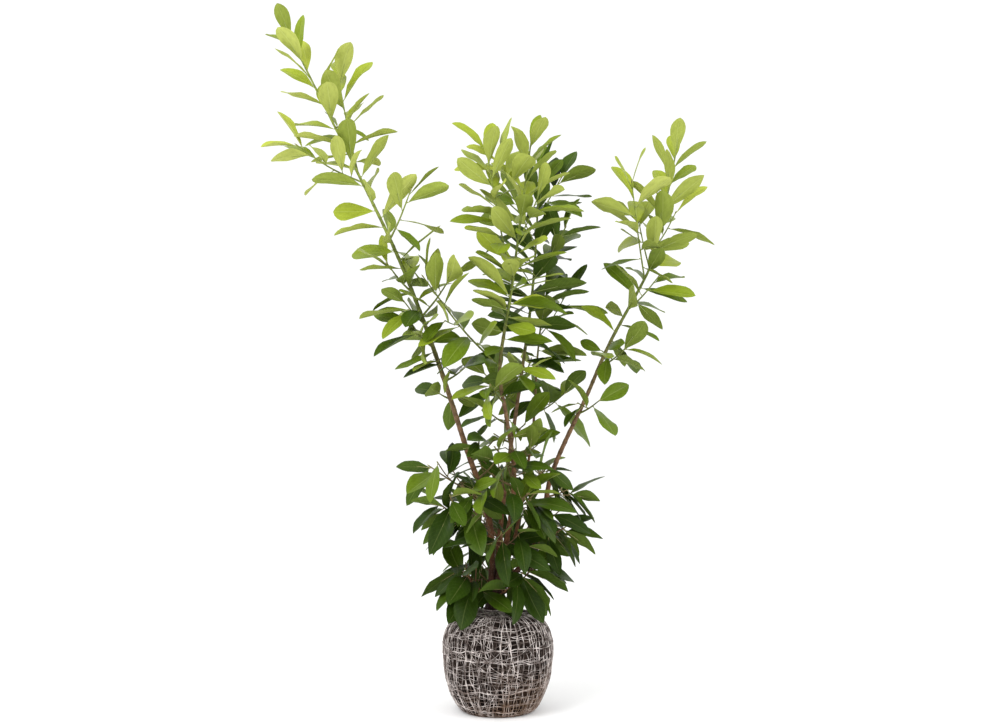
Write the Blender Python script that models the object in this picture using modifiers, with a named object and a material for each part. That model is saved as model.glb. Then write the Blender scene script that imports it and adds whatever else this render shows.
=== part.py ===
"""A cherry laurel lifted with its root ball.

Five stems fork from one short trunk and fan out. Each carries a crown of upright leafy shoots,
side sprays stand along the bare stretches, and rings of hanging sprays hide the foot. The shrub
stands on a netted ball of soil. Lengths are in metres, +Z is up, the origin is the middle of the
ball's flat underside, and the shrub is seen from the front along +Y.
"""

import math
import random

import bmesh
import bpy
from mathutils import Matrix, Vector, noise
from mathutils.bvhtree import BVHTree
from mathutils.kdtree import KDTree

# Gap that touching pieces keep
CLEAR = 0.0003

# Straight stretch that squares a limb's end to its line
SQUARE_END = 0.0015

# What a limb grows by to cut its side shoots clear of it
SHELL = CLEAR / math.cos(math.pi / 8)

# Root ball
BALL_HEIGHT = 0.267
BALL_RADIUS = 0.151
BALL_FOOT_RADIUS = 0.092
BALL_TOP_RADIUS = 0.034
BALL_BELLY_HEIGHT = 0.160
BALL_SIDES = 24
BALL_BANDS = 12

# Roundness of the ball below and above its belly, and the size and reach of its dents
BALL_FOOT_ROUNDNESS = 0.62
BALL_TOP_ROUNDNESS = 0.26
BALL_LUMP = 0.005
LUMP_DENSITY = 11.0
LUMP_FREE_RIM = 0.02

# Trunk, from the flat cut on the ball to the fork
TRUNK_ROUTE = (
    (-0.017, 0.0, BALL_HEIGHT + CLEAR), (-0.017, 0.0, 0.289), (-0.016, 0.001, 0.312),
    (-0.013, 0.002, 0.339),
)
TRUNK_RADII = (0.0235, 0.0180, 0.0165, 0.0120)
STUB_LENGTH = 0.085

# Stems: the way each takes, its radius at the fork and at its tip, and the height where its leaves begin
STEMS = {
    "left_stem": {
        "way": ((-0.017, -0.003, 0.309), (-0.024, -0.022, 0.526), (-0.087, -0.045, 0.725),
                (-0.175, -0.080, 0.996), (-0.270, -0.110, 1.244), (-0.395, -0.140, 1.505),
                (-0.549, -0.158, 1.815)),
        "radii": (0.0090, 0.0020),
        "leafy_from": 0.937,
        "habit": "airy",
    },
    "front_stem": {
        "way": ((-0.013, -0.006, 0.309), (0.024, -0.030, 0.467), (0.044, -0.045, 0.646),
                (0.024, -0.060, 0.801), (0.005, -0.070, 0.942), (0.034, -0.082, 1.137),
                (0.062, -0.090, 1.351), (0.088, -0.100, 1.542)),
        "radii": (0.0080, 0.0020),
        "leafy_from": 0.967,
        "habit": "upright",
    },
    "back_stem": {
        "way": ((-0.012, 0.008, 0.309), (0.003, 0.030, 0.462), (0.022, 0.050, 0.627),
                (0.064, 0.085, 0.908), (0.100, 0.110, 1.187), (0.118, 0.128, 1.507)),
        "radii": (0.0075, 0.0020),
        "leafy_from": 0.937,
        "habit": "upright",
    },
    "slender_stem": {
        "way": ((-0.006, 0.006, 0.309), (0.052, 0.062, 0.487), (0.099, 0.110, 0.772),
                (0.112, 0.140, 0.967), (0.143, 0.175, 1.242)),
        "radii": (0.0055, 0.0018),
        "leafy_from": 0.877,
        "habit": "upright",
    },
    "right_stem": {
        "way": ((-0.006, -0.001, 0.309), (0.110, 0.020, 0.465), (0.150, 0.040, 0.647),
                (0.249, 0.070, 0.863), (0.318, 0.090, 1.017), (0.430, 0.118, 1.223),
                (0.463, 0.130, 1.342), (0.508, 0.150, 1.552)),
        "radii": (0.0085, 0.0020),
        "leafy_from": 0.987,
        "habit": "airy",
    },
}

# Leaf habits. A pair of values is for the foot and the tip of the shoot: the angle between leaf and
# shoot in degrees, and the pull of the leaf's weight. Breadth and bend are shares of the length.
HABITS = {
    "upright": {"open": (74, 24), "sag": (0.25, 0.08), "bend": 0.15,
                "length": 0.138, "breadth": 0.40, "spacing": 0.0192},
    "airy": {"open": (74, 24), "sag": (0.25, 0.08), "bend": 0.15,
             "length": 0.138, "breadth": 0.40, "spacing": 0.0240},
    "spreading": {"open": (68, 34), "sag": (0.45, 0.18), "bend": 0.20,
                  "length": 0.142, "breadth": 0.42, "spacing": 0.0180},
    "hanging": {"open": (64, 40), "sag": (0.88, 0.60), "bend": 0.22,
                "length": 0.142, "breadth": 0.46, "spacing": 0.0160},
}

# How far chance may move a leaf's opening, turn, sag, size and bend, and roll it about its midrib.
# Most leaves roll little: the draw is raised to a power, and only a few come near the full roll.
OPEN_SPREAD = math.radians(8)
TURN_SPREAD = math.radians(9)
SAG_SPREAD = 0.35
SIZE_SPREAD = 0.09
BEND_SPREAD = 0.5
LEAF_ROLL = math.radians(64)
LEAST_ROLL = 0.05
ROLL_BIAS = 1.5

# Leaves roll to face outwards from this middle line, but for draws below this chance
OUTSIDE_FROM = Vector((0.0, 0.12, 0.0))
TURNED_AWAY = -0.5

# Leaf size along a shoot is a low hump: smaller at its foot and tip
SMALLEST_LEAF = 0.66
SIZE_HUMP = 0.40
HUMP_START = 0.16
HUMP_END = 0.90

# A leaf faces partly the sky and partly the shoot's tip
SKY_SHARE = 0.65

DIVERGENCE = math.radians(144.0)

# A leaf has two broad bands between its foot and its tip: where they are and how broad
LOWER_BAND = 0.31
UPPER_BAND = 0.72
BAND_BREADTHS = {LOWER_BAND: 0.94, UPPER_BAND: 0.96}
LEAF_THICKNESS = 0.030

# How far a leaf may reach towards the shoots of another mass, past halfway
SPACE_SLACK = 0.045

# Twigs of the crowns: the height of the foot, azimuth from the front to the right, rise and length
CROWN_TWIGS = {
    "left_stem": ((1.453, 242, 75, 0.25), (1.427, 290, 22, 0.19), (1.072, 80, 50, 0.13),
                  (1.137, 262, 45, 0.10), (1.277, 60, 60, 0.13), (1.047, 300, 40, 0.08),
                  (0.977, 262, 40, 0.09)),
    "front_stem": ((1.163, 305, 75, 0.33), (1.047, 20, 60, 0.15), (1.267, 70, 62, 0.13),
                   (1.387, 285, 50, 0.11)),
    "back_stem": ((1.177, 75, 55, 0.16), (1.057, 170, 55, 0.15), (1.277, 250, 62, 0.13),
                  (1.347, 95, 55, 0.12)),
    "slender_stem": ((1.027, 120, 50, 0.13),),
    "right_stem": ((1.177, 315, 77, 0.25), (1.212, 212, 68, 0.13), (1.087, 70, 42, 0.12),
                   (1.287, 110, 55, 0.10)),
}

# Side sprays on the stems: the stem, height of the foot, azimuth, rise, length and leaf habit
SIDE_SPRAYS = (
    ("front_stem", 0.939, 286, 45, 0.30, "spreading"),
    ("left_stem", 0.837, 268, 20, 0.03, "spreading"),
    ("left_stem", 0.902, 80, 30, 0.07, "spreading"),
    ("front_stem", 0.847, 330, 30, 0.08, "spreading"),
    ("back_stem", 0.877, 160, 35, 0.12, "spreading"),
    ("slender_stem", 0.807, 90, 30, 0.10, "spreading"),
    ("right_stem", 0.807, 60, 25, 0.07, "spreading"),
    ("right_stem", 0.932, 100, 30, 0.09, "spreading"),
    ("back_stem", 0.747, 40, 20, 0.05, "spreading"),
    ("front_stem", 0.727, 300, 20, 0.05, "hanging"),
    ("front_stem", 0.677, 60, 20, 0.05, "hanging"),
    ("front_stem", 0.787, 280, 28, 0.06, "spreading"),
    ("back_stem", 0.817, 262, 40, 0.12, "spreading"),
    ("front_stem", 0.892, 62, 30, 0.07, "spreading"),
)

# Low sprays: the limb, height of the foot, azimuth, rise, length and number of twigs
LOW_SPRAYS = (
    ("trunk", 0.299, 52, 34, 0.130, 2),
    ("trunk", 0.295, 105, 32, 0.150, 2),
    ("trunk", 0.299, 178, 36, 0.160, 2),
    ("trunk", 0.293, 262, 38, 0.120, 2),
    ("trunk", 0.301, 306, 38, 0.125, 2),
    ("front_stem", 0.427, 355, 25, 0.120, 2),
    ("left_stem", 0.457, 285, 30, 0.180, 2),
    ("back_stem", 0.457, 205, 32, 0.160, 2),
    ("slender_stem", 0.447, 140, 30, 0.140, 2),
    ("right_stem", 0.457, 75, 20, 0.080, 1),
    ("left_stem", 0.587, 272, 24, 0.160, 2),
    ("front_stem", 0.537, 25, 28, 0.110, 2),
    ("left_stem", 0.547, 335, 26, 0.110, 2),
    ("right_stem", 0.577, 80, 14, 0.060, 1),
    ("back_stem", 0.587, 190, 34, 0.130, 2),
    ("front_stem", 0.627, 345, 30, 0.090, 1),
    ("slender_stem", 0.587, 130, 30, 0.090, 1),
    ("right_stem", 0.507, 15, 24, 0.090, 1),
    ("left_stem", 0.487, 350, 26, 0.120, 1),
    ("front_stem", 0.667, 320, 30, 0.090, 1),
    ("left_stem", 0.637, 40, 30, 0.100, 1),
    ("front_stem", 0.607, 292, 26, 0.100, 1),
    ("back_stem", 0.657, 95, 30, 0.090, 1),
    ("right_stem", 0.627, 320, 24, 0.080, 1),
    ("left_stem", 0.677, 60, 34, 0.090, 1),
)
LOW_TWIG_SHARE = 0.55
LOW_TWIG_TURN = 58
LOW_TWIG_RISE = 8
LOW_TWIG_FIRST = 0.34
LOW_TWIG_STEP = 0.24

# Shoots: thickness, the share of their parent's radius they may have, and how far they bow upwards
SHOOT_FOOT_RADIUS = 0.0030
SHOOT_TIP_RADIUS = 0.0016
SHOOT_SHARE = 0.62
SHOOT_LIFT = 0.10
SPRAY_BARE_FOOT = 0.022

# Seeds of the leaves
CROWN_SEED = 11
SIDE_SEED = 31
LOW_SEED = 70

# Colours
SOIL = (0.16, 0.13, 0.11)
TRUNK_BARK = (0.045, 0.028, 0.026)
STEM_BARK = (0.16, 0.085, 0.05)
LEAF_DEEP = (0.032, 0.100, 0.013)
LEAF_YOUNG = (0.330, 0.450, 0.045)
DEEP_HEIGHT = 0.55
YOUNG_HEIGHT = 1.75

FRONT = Vector((0.0, -1.0, 0.0))
UP = Vector((0.0, 0.0, 1.0))


class Limb:
    """A tapering limb along a smooth line through its way points."""

    samples_per_span = 12

    def __init__(self, way, radii):
        self.radii = radii
        knots = [Vector(point) for point in way]
        knots = [2 * knots[0] - knots[1]] + knots + [2 * knots[-1] - knots[-2]]
        self.line = []
        for span in range(1, len(knots) - 2):
            for step in range(self.samples_per_span):
                self.line.append(self.curve(knots[span - 1:span + 3], step / self.samples_per_span))
        self.line.append(knots[-2])
        self.marks = [0.0]
        for start, end in zip(self.line, self.line[1:]):
            self.marks.append(self.marks[-1] + (end - start).length)
        self.length = self.marks[-1]

    @staticmethod
    def curve(knots, t):
        """The point at t, from 0 to 1, between the middle two of four knots."""
        before, start, end, after = knots
        slope_in = (end - before) / 2
        slope_out = (after - start) / 2
        return (
            start * (2 * t**3 - 3 * t**2 + 1) + slope_in * (t**3 - 2 * t**2 + t)
            + end * (3 * t**2 - 2 * t**3) + slope_out * (t**3 - t**2)
        )

    def at(self, run):
        """The point a run of length along the limb."""
        run = min(max(run, 0.0), self.length)
        index = next(i for i, mark in enumerate(self.marks[1:]) if mark >= run)
        share = (run - self.marks[index]) / (self.marks[index + 1] - self.marks[index])
        return self.line[index].lerp(self.line[index + 1], share)

    def heading(self, run):
        """The limb's direction there."""
        return (self.at(run + 0.004) - self.at(run - 0.004)).normalized()

    def radius(self, run):
        """Radii are even steps from the foot to the tip."""
        place = run / self.length * (len(self.radii) - 1)
        step = min(int(place), len(self.radii) - 2)
        return self.radii[step] + (self.radii[step + 1] - self.radii[step]) * (place - step)

    def run_at_height(self, height):
        """How far along a rising limb a height lies."""
        index = next(i for i, point in enumerate(self.line) if point.z >= height or i == len(self.line) - 1)
        return self.marks[index]


class Leaf:
    """A leaf blade: its foot on the shoot's middle line, where it points and which way it faces."""

    def __init__(self, foot, direction, face, length, breadth, bend):
        self.foot = foot
        self.direction = direction
        self.face = face
        self.side = direction.cross(face)
        self.length = length
        self.half_width = length * breadth / 2
        self.bend = bend

    def point(self, share, across=0.0, rise=0.0):
        """A place on the blade: share of its length, metres across and metres above."""
        droop = self.bend * self.length * share * share
        along = self.direction * (self.length * share) - self.face * droop
        return self.foot + along + self.side * across + self.face * rise


def bearing(heading, azimuth):
    """The direction square to a heading, turned from the front to the right."""
    front = (FRONT - heading * FRONT.dot(heading)).normalized()
    return front * math.cos(azimuth) + heading.cross(front) * math.sin(azimuth)


def compass(azimuth, rise):
    """The direction at an azimuth, from the front to the right, and a rise, in degrees."""
    turn = math.radians(azimuth)
    lift = math.radians(rise)
    return Vector((math.sin(turn) * math.cos(lift), -math.cos(turn) * math.cos(lift), math.sin(lift)))


def shoot(parent, run, azimuth, rise, length):
    """A side shoot from the middle of its parent, bowed upwards by a share of its length."""
    foot = parent.at(run)
    heading = compass(azimuth, rise)
    middle = foot + heading * length * 0.5
    tip = foot + heading * length + UP * SHOOT_LIFT * length
    thickness = min(SHOOT_FOOT_RADIUS, SHOOT_SHARE * parent.radius(run))
    return Limb((foot, middle, tip), (thickness, SHOOT_TIP_RADIUS))


# Where leaves may go

TEST_FOOT = 0.09
TEST_MARGIN = 0.0016
TWIG_TEST_FOOT = 0.012
SAMPLE_STEP = 0.01
FAR_APART = 0.17


def leaf_tree(leaf):
    """The leaf with a margin all round, from a little off its shoot, for finding what it touches."""
    corners = [leaf.point(TEST_FOOT)]
    for share, breadth in BAND_BREADTHS.items():
        across = leaf.half_width * breadth + TEST_MARGIN
        depth = LEAF_THICKNESS * leaf.length + TEST_MARGIN
        corners.append(leaf.point(share, -across))
        corners.append(leaf.point(share, 0.0, TEST_MARGIN))
        corners.append(leaf.point(share, across))
        corners.append(leaf.point(share, 0.0, -depth))
    corners.append(leaf.point(1.0 + TEST_MARGIN / leaf.length))
    faces = []
    for side in range(4):
        near, beside = 1 + side, 1 + (side + 1) % 4
        faces.append((0, near, beside))
        faces.append((near, near + 4, beside + 4, beside))
        faces.append((near + 4, 9, beside + 4))
    return BVHTree.FromPolygons(corners, faces)


def limb_tree(limb, start, end, sides=6, step=0.02):
    """A plain tube round a stretch of a limb, with the margin, for finding what it touches."""
    rings = max(2, int((end - start) / step) + 1)
    corners, faces = [], []
    for ring in range(rings):
        run = start + (end - start) * ring / (rings - 1)
        reach = limb.radius(run) + TEST_MARGIN
        for side in range(sides):
            corners.append(limb.at(run) + bearing(limb.heading(run), math.tau * side / sides) * reach)
        if ring:
            for side in range(sides):
                a, b = (ring - 1) * sides + side, (ring - 1) * sides + (side + 1) % sides
                faces.append((a, b, b + sides, a + sides))
    return BVHTree.FromPolygons(corners, faces)


class Mass:
    """A mass of foliage: one stem, its twigs and their leaves, in a space of its own."""

    def __init__(self, name, stem, start, habit, seed, host=None):
        self.name = name
        self.stem = stem
        self.start = start
        self.habit = HABITS[habit]
        self.dice = random.Random(seed)
        self.host = host
        self.twigs = []
        self.leaves = []

    def shoots(self):
        """Each shoot with the run where its leaves begin."""
        yield self.stem, self.start
        for twig in self.twigs:
            yield twig, SPRAY_BARE_FOOT


class Surroundings:
    """What stands already: the spaces of the masses, the limbs and the leaves."""

    def __init__(self, masses, trees):
        self.trees = trees
        self.leaf_trees = []
        self.owners = []
        samples = []
        for mass in masses:
            for limb, start in mass.shoots():
                run = start
                while run <= limb.length:
                    samples.append(limb.at(run))
                    self.owners.append(mass.name)
                    run += SAMPLE_STEP
        self.nearest = KDTree(len(samples))
        for index, point in enumerate(samples):
            self.nearest.insert(point, index)
        self.nearest.balance()

    def in_space(self, leaf, name):
        """True where the leaf's middle and tip lie by shoots of its own mass, give or take the slack."""
        for share in (0.6, 1.0):
            found = self.nearest.find_n(leaf.point(share), 40)
            nearest = found[0][2]
            own = [distance for _, index, distance in found if self.owners[index] == name]
            if not own or own[0] > nearest + SPACE_SLACK:
                return False
        return True

    def touches(self, leaf, tree):
        """True where the leaf meets a limb or an earlier leaf."""
        middle = leaf.point(0.5)
        for other_middle, other in self.leaf_trees:
            if (other_middle - middle).length < FAR_APART and tree.overlap(other):
                return True
        return any(tree.overlap(other) for other in self.trees)

    def add(self, leaf, tree):
        """A leaf that the later ones keep clear of."""
        self.leaf_trees.append((leaf.point(0.5), tree))


# Turns that a leaf tries, in degrees about its shoot, before it is left out
LEAF_TURNS = (0, 24, -24, 48, -48, 75, -75, 105, -105, 140, -140)

# A turn of this many degrees doubles the sag
HALF_TURN = 140
TIP_INSET = 0.002


def blend(pair, share):
    """Between the value at the foot and the value at the tip."""
    return pair[0] + (pair[1] - pair[0]) * share


def place_leaf(limb, run, share, azimuth, turn, habit, draws):
    """The leaf at a run along its shoot: draws are six chances from -1 to 1."""
    opening = math.radians(blend(habit["open"], share)) + OPEN_SPREAD * draws[0]
    sag = blend(habit["sag"], share) * (1.0 + SAG_SPREAD * draws[1]) * (1.0 + abs(turn) / HALF_TURN)
    hump = math.sin(math.pi * blend((HUMP_START, HUMP_END), share))
    size = SMALLEST_LEAF + SIZE_HUMP * hump + SIZE_SPREAD * draws[2]
    heading = limb.heading(run)
    foot = limb.at(run)
    aside = bearing(heading, azimuth + TURN_SPREAD * draws[3] + math.radians(turn))
    direction = heading * math.cos(opening) + aside * math.sin(opening)
    direction = (direction - UP * sag).normalized()
    face = UP * SKY_SHARE + heading * (1.0 - SKY_SHARE)
    face = (face - direction * face.dot(direction)).normalized()
    outside = direction.cross(face).dot(foot - OUTSIDE_FROM - UP * foot.z)
    roll = LEAF_ROLL * (LEAST_ROLL + (1.0 - LEAST_ROLL) * abs(draws[4]) ** ROLL_BIAS)
    if (outside > 0) != (draws[4] > TURNED_AWAY):
        roll = -roll
    face.rotate(Matrix.Rotation(roll, 3, direction))
    bend = habit["bend"] * (1.0 + BEND_SPREAD * draws[5])
    return Leaf(foot, direction, face, habit["length"] * size, habit["breadth"], bend)


def grow_leaves(mass, surroundings):
    """Leaves in a spiral up each shoot of the mass; one that finds no free place is skipped."""
    spacing = mass.habit["spacing"]
    for limb, start in mass.shoots():
        count = max(1, int((limb.length - start) / spacing))
        first = mass.dice.uniform(0.0, math.tau)
        for number in range(count + 1):
            run = min(start + spacing * (number + 0.5), limb.length - TIP_INSET)
            draws = [mass.dice.uniform(-1.0, 1.0) for _ in range(6)]
            for turn in LEAF_TURNS:
                azimuth = first + number * DIVERGENCE
                leaf = place_leaf(limb, run, number / count, azimuth, turn, mass.habit, draws)
                tree = leaf_tree(leaf)
                if surroundings.in_space(leaf, mass.name) and not surroundings.touches(leaf, tree):
                    surroundings.add(leaf, tree)
                    mass.leaves.append(leaf)
                    break


# Solids

def finish(name, colour, roughness):
    """A plain material of one colour."""
    material = bpy.data.materials.new(name)
    material.use_nodes = True
    shader = material.node_tree.nodes["Principled BSDF"]
    shader.inputs["Base Color"].default_value = (*colour, 1.0)
    shader.inputs["Roughness"].default_value = roughness
    shader.inputs["Metallic"].default_value = 0.0
    return material


def add_object(name, mesh, collection):
    """A mesh as an object of the collection."""
    solid = bpy.data.objects.new(name, mesh)
    collection.objects.link(solid)
    return solid


def evaluated_mesh(solid):
    """The mesh of an object with its modifiers applied."""
    bpy.context.view_layer.update()
    return bpy.data.meshes.new_from_object(solid.evaluated_get(bpy.context.evaluated_depsgraph_get()))


def tube(name, limb, start, end, collection, step=0.05, sides=8, extra=0.0, squared=True):
    """A stretch of a limb as a closed mesh, made from a bevelled curve with capped ends."""
    count = max(2, round((end - start) / step))
    runs = [start + (end - start) * number / count for number in range(count + 1)]
    if squared:
        runs = runs[:1] + [start + SQUARE_END] + runs[1:-1] + [end - SQUARE_END] + runs[-1:]
    path = bpy.data.curves.new(name, "CURVE")
    path.dimensions = "3D"
    path.bevel_depth = 1.0
    path.bevel_resolution = (sides - 4) // 2
    path.use_fill_caps = True
    spline = path.splines.new("POLY")
    spline.points.add(len(runs) - 1)
    for point, run in zip(spline.points, runs):
        point.co = (*limb.at(run), 1.0)
        point.radius = limb.radius(run) + extra
    curve = add_object(name + "_curve", path, collection)
    mesh = evaluated_mesh(curve)
    bpy.data.objects.remove(curve)
    bpy.data.curves.remove(path)
    weld(mesh)
    return add_object(name, mesh, collection)


def weld(mesh, distance=0.00001):
    """Caps joined to their tube, faces made triangles that point out."""
    form = bmesh.new()
    form.from_mesh(mesh)
    bmesh.ops.remove_doubles(form, verts=form.verts, dist=distance)
    bmesh.ops.triangulate(form, faces=form.faces)
    bmesh.ops.recalc_face_normals(form, faces=form.faces)
    form.to_mesh(mesh)
    form.free()


def trunk_tube(limb, collection, extra=0.0):
    """The trunk below its fork."""
    return tube("trunk", limb, 0.0, limb.length, collection, step=0.016, sides=12, extra=extra)


def stub_tube(limb, collection, extra=0.0):
    """The first stretch of a stem, which is one with the trunk."""
    return tube("stub", limb, 0.0, STUB_LENGTH, collection, step=0.02, extra=extra)


def bough_tube(name, limb, collection, extra=0.0):
    """The bare stretch of a stem, from its stub to where its leaves begin."""
    leafy = limb.run_at_height(STEMS[name]["leafy_from"])
    return tube(name, limb, STUB_LENGTH + CLEAR, leafy, collection, extra=extra)


def leaf_solid(leaf, name, collection):
    """A three-sided sphere of three bands drawn out into a keeled blade."""
    form = bmesh.new()
    bmesh.ops.create_uvsphere(form, u_segments=3, v_segments=3, radius=1.0)
    stations = {-2: 0.0, -1: LOWER_BAND, 1: UPPER_BAND, 2: 1.0}
    for vert in form.verts:
        share = stations[round(2 * vert.co.z)]
        across, rise = 0.0, 0.0
        if share in BAND_BREADTHS:
            across = round(vert.co.y) * leaf.half_width * BAND_BREADTHS[share]
            rise = -LEAF_THICKNESS * leaf.length if vert.co.x > 0.1 else 0.0
        vert.co = leaf.point(share, across, rise)
    bmesh.ops.triangulate(form, faces=form.faces)
    bmesh.ops.recalc_face_normals(form, faces=form.faces)
    mesh = bpy.data.meshes.new(name)
    form.to_mesh(mesh)
    form.free()
    return add_object(name, mesh, collection)


def islands(form):
    """The separate bodies of a bmesh, as lists of faces."""
    left = set(form.faces)
    while left:
        body, front = [], [left.pop()]
        while front:
            face = front.pop()
            body.append(face)
            for edge in face.edges:
                for beside in edge.link_faces:
                    if beside in left:
                        left.remove(beside)
                        front.append(beside)
        yield body


def body_volume(faces):
    """Six times the volume inside triangles."""
    return sum(f.verts[0].co.dot(f.verts[1].co.cross(f.verts[2].co)) for f in faces)


def keep_outer_body(mesh):
    """Loose scraps and sealed hollows are dropped; returns True where the rest is closed."""
    form = bmesh.new()
    form.from_mesh(mesh)
    bmesh.ops.triangulate(form, faces=form.faces)
    bodies = sorted(islands(form), key=body_volume)
    for body in bodies[:-1]:
        bmesh.ops.delete(form, geom=body, context="FACES")
    closed = bool(form.faces) and all(edge.is_manifold for edge in form.edges)
    form.to_mesh(mesh)
    form.free()
    return closed


def combine(solid, operation, collection):
    """One Boolean between an object and a whole collection, applied."""
    for solver in ("EXACT", "MANIFOLD"):
        boolean = solid.modifiers.new(operation.lower(), "BOOLEAN")
        boolean.operation = operation
        boolean.operand_type = "COLLECTION"
        boolean.collection = collection
        boolean.solver = solver
        mesh = evaluated_mesh(solid)
        solid.modifiers.remove(boolean)
        if keep_outer_body(mesh):
            solid.data = mesh
            break
    for operand in list(collection.objects):
        bpy.data.objects.remove(operand)


def lump(mesh):
    """Soft dents and swells over the side of the ball, with its flat foot and top left alone."""
    form = bmesh.new()
    form.from_mesh(mesh)
    for vert in form.verts:
        level = vert.co.z / BALL_HEIGHT
        if LUMP_FREE_RIM < level < 1.0 - LUMP_FREE_RIM:
            swell = noise.noise(vert.co * LUMP_DENSITY) * BALL_LUMP * math.sin(math.pi * level)
            vert.co += Vector((vert.co.x, vert.co.y, 0.0)).normalized() * swell
    form.to_mesh(mesh)
    form.free()


def ball_radius(height):
    """The ball's radius: a full belly, round shoulders and a narrower foot."""
    if height <= BALL_BELLY_HEIGHT:
        rise = math.sin(math.pi / 2 * height / BALL_BELLY_HEIGHT)
        return BALL_FOOT_RADIUS + (BALL_RADIUS - BALL_FOOT_RADIUS) * rise**BALL_FOOT_ROUNDNESS
    rise = (height - BALL_BELLY_HEIGHT) / (BALL_HEIGHT - BALL_BELLY_HEIGHT)
    fullness = max(0.0, 1.0 - rise * rise) ** BALL_TOP_ROUNDNESS
    return BALL_TOP_RADIUS + (BALL_RADIUS - BALL_TOP_RADIUS) * fullness


def build_ball(collection):
    """The root ball: a turned profile with a flat foot and top."""
    heights = [BALL_HEIGHT * (1.0 + math.cos(math.pi * n / BALL_BANDS)) / 2 for n in range(BALL_BANDS + 1)]
    profile = bpy.data.meshes.new("ball_profile")
    form = bmesh.new()
    line = [(0.0, BALL_HEIGHT)] + [(ball_radius(h), h) for h in heights] + [(0.0, 0.0)]
    verts = [form.verts.new((radius, 0.0, height)) for radius, height in line]
    for above, below in zip(verts, verts[1:]):
        form.edges.new((above, below))
    form.to_mesh(profile)
    form.free()
    ball = add_object("root_ball", profile, collection)
    turning = ball.modifiers.new("turning", "SCREW")
    turning.steps = BALL_SIDES
    turning.render_steps = BALL_SIDES
    turning.use_merge_vertices = True
    turning.merge_threshold = 0.0001
    mesh = evaluated_mesh(ball)
    ball.modifiers.remove(turning)
    ball.data = mesh
    lump(mesh)
    mesh.shade_smooth()
    mesh.set_sharp_from_angle(angle=math.radians(50))
    return ball


def leaf_colour(height):
    """Deep green near the ground, yellow-green on the young tips."""
    share = min(max((height - DEEP_HEIGHT) / (YOUNG_HEIGHT - DEEP_HEIGHT), 0.0), 1.0)
    return tuple(deep + (young - deep) * share for deep, young in zip(LEAF_DEEP, LEAF_YOUNG))


def plan_crowns(stems):
    """The leafy top of each stem, with its twigs."""
    for number, (name, limb) in enumerate(stems.items()):
        leafy = limb.run_at_height(STEMS[name]["leafy_from"]) + CLEAR
        habit = STEMS[name]["habit"]
        crown = Mass(name.replace("stem", "crown"), limb, leafy, habit, CROWN_SEED + number)
        for height, azimuth, rise, length in CROWN_TWIGS[name]:
            crown.twigs.append(shoot(limb, limb.run_at_height(height), azimuth, rise, length))
        yield crown


def plan_side_sprays(limbs):
    """Small sprays along the bare stretches of the stems."""
    for number, (host, height, azimuth, rise, length, habit) in enumerate(SIDE_SPRAYS):
        stem = shoot(limbs[host], limbs[host].run_at_height(height), azimuth, rise, length)
        name = "side_spray_" + str(number + 1)
        yield Mass(name, stem, SPRAY_BARE_FOOT, habit, SIDE_SEED + number, host)


def plan_low_sprays(limbs):
    """The sprays that hide the foot, with twigs that leave their stem by turns to either side."""
    for number, (host, height, azimuth, rise, length, twigs) in enumerate(LOW_SPRAYS):
        stem = shoot(limbs[host], limbs[host].run_at_height(height), azimuth, rise, length)
        name = "low_spray_" + str(number + 1)
        spray = Mass(name, stem, SPRAY_BARE_FOOT, "hanging", LOW_SEED + number, host)
        for twig in range(twigs):
            side = LOW_TWIG_TURN if (twig + number) % 2 else -LOW_TWIG_TURN
            run = length * (LOW_TWIG_FIRST + LOW_TWIG_STEP * twig)
            reach = length * LOW_TWIG_SHARE
            spray.twigs.append(shoot(stem, run, azimuth + side, rise + LOW_TWIG_RISE, reach))
        yield spray


def grow_foliage(masses, limbs, ball):
    """Leaves on every mass in turn, each clear of the limbs, the ball and the leaves before it."""
    trees = [limb_tree(limb, 0.0, limb.length) for limb in limbs.values()]
    for mass in masses:
        for twig, _ in mass.shoots():
            if twig not in limbs.values():
                trees.append(limb_tree(twig, TWIG_TEST_FOOT, twig.length, sides=4))
    corners = [vert.co for vert in ball.data.vertices]
    trees.append(BVHTree.FromPolygons(corners, [face.vertices for face in ball.data.polygons]))
    surroundings = Surroundings(masses, trees)
    for mass in masses:
        grow_leaves(mass, surroundings)


def build_mass(mass, limbs, shrub, workshop):
    """Stem, twigs and leaves joined to one body and cut clear of the limb they spring from."""
    start = 0.0 if mass.host else mass.start
    piece = tube(mass.name, mass.stem, start, mass.stem.length, shrub, sides=4, squared=not mass.host)
    for number, twig in enumerate(mass.twigs):
        tube("twig_" + str(number), twig, 0.0, twig.length, workshop, sides=4, squared=False)
    for number, leaf in enumerate(mass.leaves):
        leaf_solid(leaf, "leaf_" + str(number), workshop)
    combine(piece, "UNION", workshop)
    if mass.host:
        trunk_tube(limbs["trunk"], workshop, SHELL)
        for name in STEMS:
            stub_tube(limbs[name], workshop, SHELL)
            bough_tube(name, limbs[name], workshop, SHELL)
        combine(piece, "DIFFERENCE", workshop)
    height = mass.stem.at(mass.stem.length).z
    piece.data.materials.append(finish(mass.name + "_leaves", leaf_colour(height), 0.4))


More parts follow.
